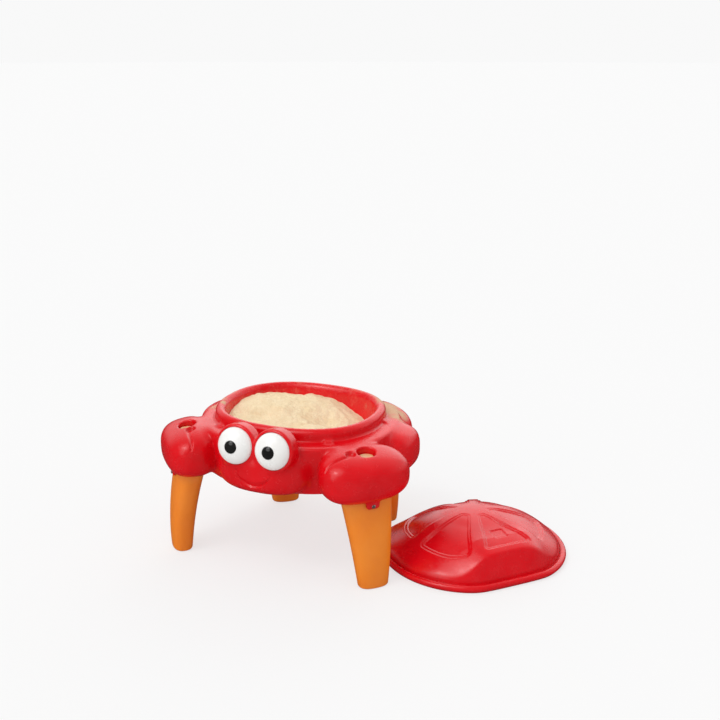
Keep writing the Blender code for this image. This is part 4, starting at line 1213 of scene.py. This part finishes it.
# %% One screw with a cross recess
SCREW_PROFILE = (
    (0.0004, 0.0035), (0.0021, 0.0034), (0.0038, 0.0029), (0.0051, 0.0021), (0.0058, 0.0012),
    (0.0060, 0.0005), (0.0058, 0.0), (0.0025, 0.0), (0.0025, -0.0215), (0.0010, -0.0240))
ARM = np.array([(0.0030, 0.0006), (-0.0030, 0.0006), (-0.0030, -0.0006), (0.0030, -0.0006)])

screw = new_mesh_object("one_screw", [loft(disc_rings(SCREW_PROFILE, 32))])
arm = loft([level_ring(ARM * 0.35, 0.0008), level_ring(ARM, 0.0050)])
cutter = cut_out(screw, "cross", [placed(arm, 0, 0, turn) for turn in (0, math.pi / 2)], overlapping=True)
screw = settle(screw, "one_screw", cutter)
print("screw:", len(screw.data.polygons), "faces")

# %% Four screws on four points
SCREW_SEED = 7

tree, given = geometry_tree("set_screws", {
    "Screw": OBJECT, "Size": 1.0, "Seed": SCREW_SEED, "Finish": MATERIAL})
pattern = add_node(tree, "GeometryNodeObjectInfo", transform_space="ORIGINAL", in_Object=given["Screw"])
aligned = add_node(tree, "FunctionNodeAlignRotationToVector", axis="Z",
                   in_Vector=read_mark(tree, "faces", "FLOAT_VECTOR")).outputs[0]
spin = add_node(tree, "FunctionNodeRandomValue", data_type="FLOAT", in_2=0.0, in_3=math.tau,
                in_Seed=given["Seed"]).outputs[1]
spun = add_node(tree, "FunctionNodeAxisAngleToRotation", in_Axis=(0, 0, 1), in_Angle=spin).outputs[0]
turned = add_node(tree, "FunctionNodeRotateRotation", rotation_space="LOCAL", in_0=aligned, in_1=spun)
dots = add_node(tree, "GeometryNodeMeshToPoints", in_Mesh=given["Geometry"]).outputs[0]
four = add_node(tree, "GeometryNodeInstanceOnPoints", in_Points=dots, in_Instance=pattern.outputs["Geometry"],
                in_Rotation=turned.outputs[0], in_Scale=given["Size"])
end_tree(tree, four.outputs[0], given["Finish"])

screw_points, screw_faces = [], []
for _, (x, y, turn), side in PLACES:
    out = Vector((math.sin(turn), -math.cos(turn), 0))
    spot = side * (x + TAB_FACE * out.x), y + TAB_FACE * out.y
    screw_points.append((spot[0] + MIDDLE.x, spot[1] + MIDDLE.y, SCREW_HEIGHT))
    screw_faces.append((side * out.x, out.y, 0))
marks = bpy.data.meshes.new("screw_marks")
marks.from_pydata(screw_points, [], [])
layer = marks.attributes.new("faces", "FLOAT_VECTOR", "POINT")
layer.data.foreach_set("vector", np.array(screw_faces, dtype=np.float32).ravel())
holders = in_scene("screw_marks", marks)
add_tree(holders, tree, {"Screw": screw, "Seed": SCREW_SEED, "Finish": STEEL})
screws = settle(holders, "leg_screws", screw)
finish_piece(screws, STEEL, "screw_steel", "table", *("leg_screw_" + place[0] for place in PLACES), crease=30)

# %% [markdown]
# ## Sand
# Dry sand lies in soft heaps with small hollows between them.
# A height over the basin's plan describes that well: the heap at the back left,
# the hollow at the right, and noise for the lumps. Its edge runs into the basin's wall.

# %% The sand's height
SAND_LEVEL = 0.389
MOUNDS = ((0.027, -0.150, 0.050, 0.105), (0.010, -0.030, 0.135, 0.080), (-0.050, 0.205, 0.095, 0.120),
          (-0.026, 0.055, 0.040, 0.050), (0.014, -0.065, 0.000, 0.030), (0.009, 0.095, -0.070, 0.045),
          (-0.013, -0.106, -0.040, 0.030), (-0.007, 0.010, -0.070, 0.040))
SAND_STEPS, SAND_ROWS = 200, 84
WALL_LOW, WALL_HIGH, LUMPS, RIPPLE = 0.298, 0.422, 0.0062, 0.0015


def sand_height(x, y):
    """Mounds and hollows of (height, x, y, reach), then lumps and a fine ripple."""
    height = SAND_LEVEL
    for rise, across, back, reach in MOUNDS:
        height += rise * math.exp(-((x - across) ** 2 + (y - back) ** 2) / reach ** 2)
    lumps = noise.fractal(Vector((x * 22, y * 22, 3.7)), 0.9, 2.1, 4)
    ripple = noise.noise(Vector((x * 70, y * 70, 9.1)))
    return height + LUMPS * lumps + RIPPLE * ripple


def sand_ring(points):
    return np.column_stack([points, [sand_height(x, y) for x, y in points]])


wall = -RIM_WIDTH - FIT
edge_height = sand_ring(rim_path(wall - 0.005, SAND_STEPS))[:, 2]
edge_share = (edge_height - WALL_LOW) / (WALL_HIGH - WALL_LOW)
edge = rim_path((wall - BASIN_DRAFT * (1 - edge_share) + 0.0015)[:, None], SAND_STEPS)
rings = [level_ring(rim_path(wall - BASIN_DRAFT - HULL_CORNER, SAND_STEPS), BASIN_FLOOR + FIT),
         level_ring(rim_path(wall - BASIN_DRAFT, SAND_STEPS), BASIN_FLOOR + HULL_CORNER)]
rings += [sand_ring(edge * (1 - row / (SAND_ROWS + 0.4))) for row in range(SAND_ROWS + 1)]
sand = new_mesh_object("heaped_sand", [loft(rings)])
sand.data.transform(TO_MIDDLE)
finish_piece(sand, SAND_MATERIAL, "play_sand", "table", "sand_fill", crease=60)
top = mesh_points(sand.data)[:, 2]
print("sand from", round(float(top.min()), 3), "to", round(float(top.max()), 3), "m high")

# %% [markdown]
# ## Spilled grains
# Some sand lies loose on the deck and the rim. Grains follow a surface, so Geometry Nodes
# scatter them over the body's upward faces, thickest where the dust mark is strong. Each grain
# is a small blob of twenty faces, with its size and turn drawn from a fixed seed.

# %% The deck's upward faces, as the ground for the grains
LEAST_UPWARD, LEAST_DUSTY = 0.5, 0.25


def keep_dusty_tops(bm):
    dust_and_highlight = bm.verts.layers.float["dust_and_highlight"]
    drop = [face for face in bm.faces
            if face.normal.z < LEAST_UPWARD or max(vert[dust_and_highlight] for vert in face.verts) < LEAST_DUSTY]
    bmesh.ops.delete(bm, geom=drop, context="FACES")


ground = in_scene("grain_ground", bpy.data.meshes.new("grain_ground"))
rework(body.data, keep_dusty_tops, ground.data)
print("ground for grains:", len(ground.data.polygons), "faces")

# %% Scatter the grains
GRAIN_SEED, ANY_TURN = 11, (math.tau, math.tau, math.tau)
SMALLEST, LARGEST = (0.6, 0.6, 0.5), (1.5, 1.3, 1.1)

tree, given = geometry_tree("scatter_grains", {
    "Grains per square metre": 90000.0, "Grain size": 0.0005, "Seed": GRAIN_SEED, "Finish": MATERIAL})
calc = sums(tree)
seed = given["Seed"]
density = calc("MULTIPLY", calc("POWER", read_mark(tree, "dust_and_highlight"), 2.0), given["Grains per square metre"])
scatter = add_node(tree, "GeometryNodeDistributePointsOnFaces", distribute_method="RANDOM",
                   in_Mesh=given["Geometry"], in_Density=density, in_Seed=seed).outputs["Points"]
grain = add_node(tree, "GeometryNodeMeshIcoSphere", in_Subdivisions=1, in_Radius=given["Grain size"])
turned, sized = (
    add_node(tree, "FunctionNodeRandomValue", data_type="FLOAT_VECTOR",
             in_0=low, in_1=high, in_Seed=seed).outputs[0]
    for low, high in (((0, 0, 0), ANY_TURN), (SMALLEST, LARGEST)))
loose = add_node(tree, "GeometryNodeInstanceOnPoints", in_Points=scatter, in_Instance=grain.outputs["Mesh"],
                 in_Rotation=turned, in_Scale=sized)
end_tree(tree, loose.outputs[0], given["Finish"])
add_tree(ground, tree, {"Seed": GRAIN_SEED, "Finish": SAND_MATERIAL})
finish_piece(settle(ground, "spilled_grains"), SAND_MATERIAL, "play_sand", "table")

# %% The visual box, and the end
low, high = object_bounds()
print("visual box:", [round(value, 4) for value in low], [round(value, 4) for value in high])
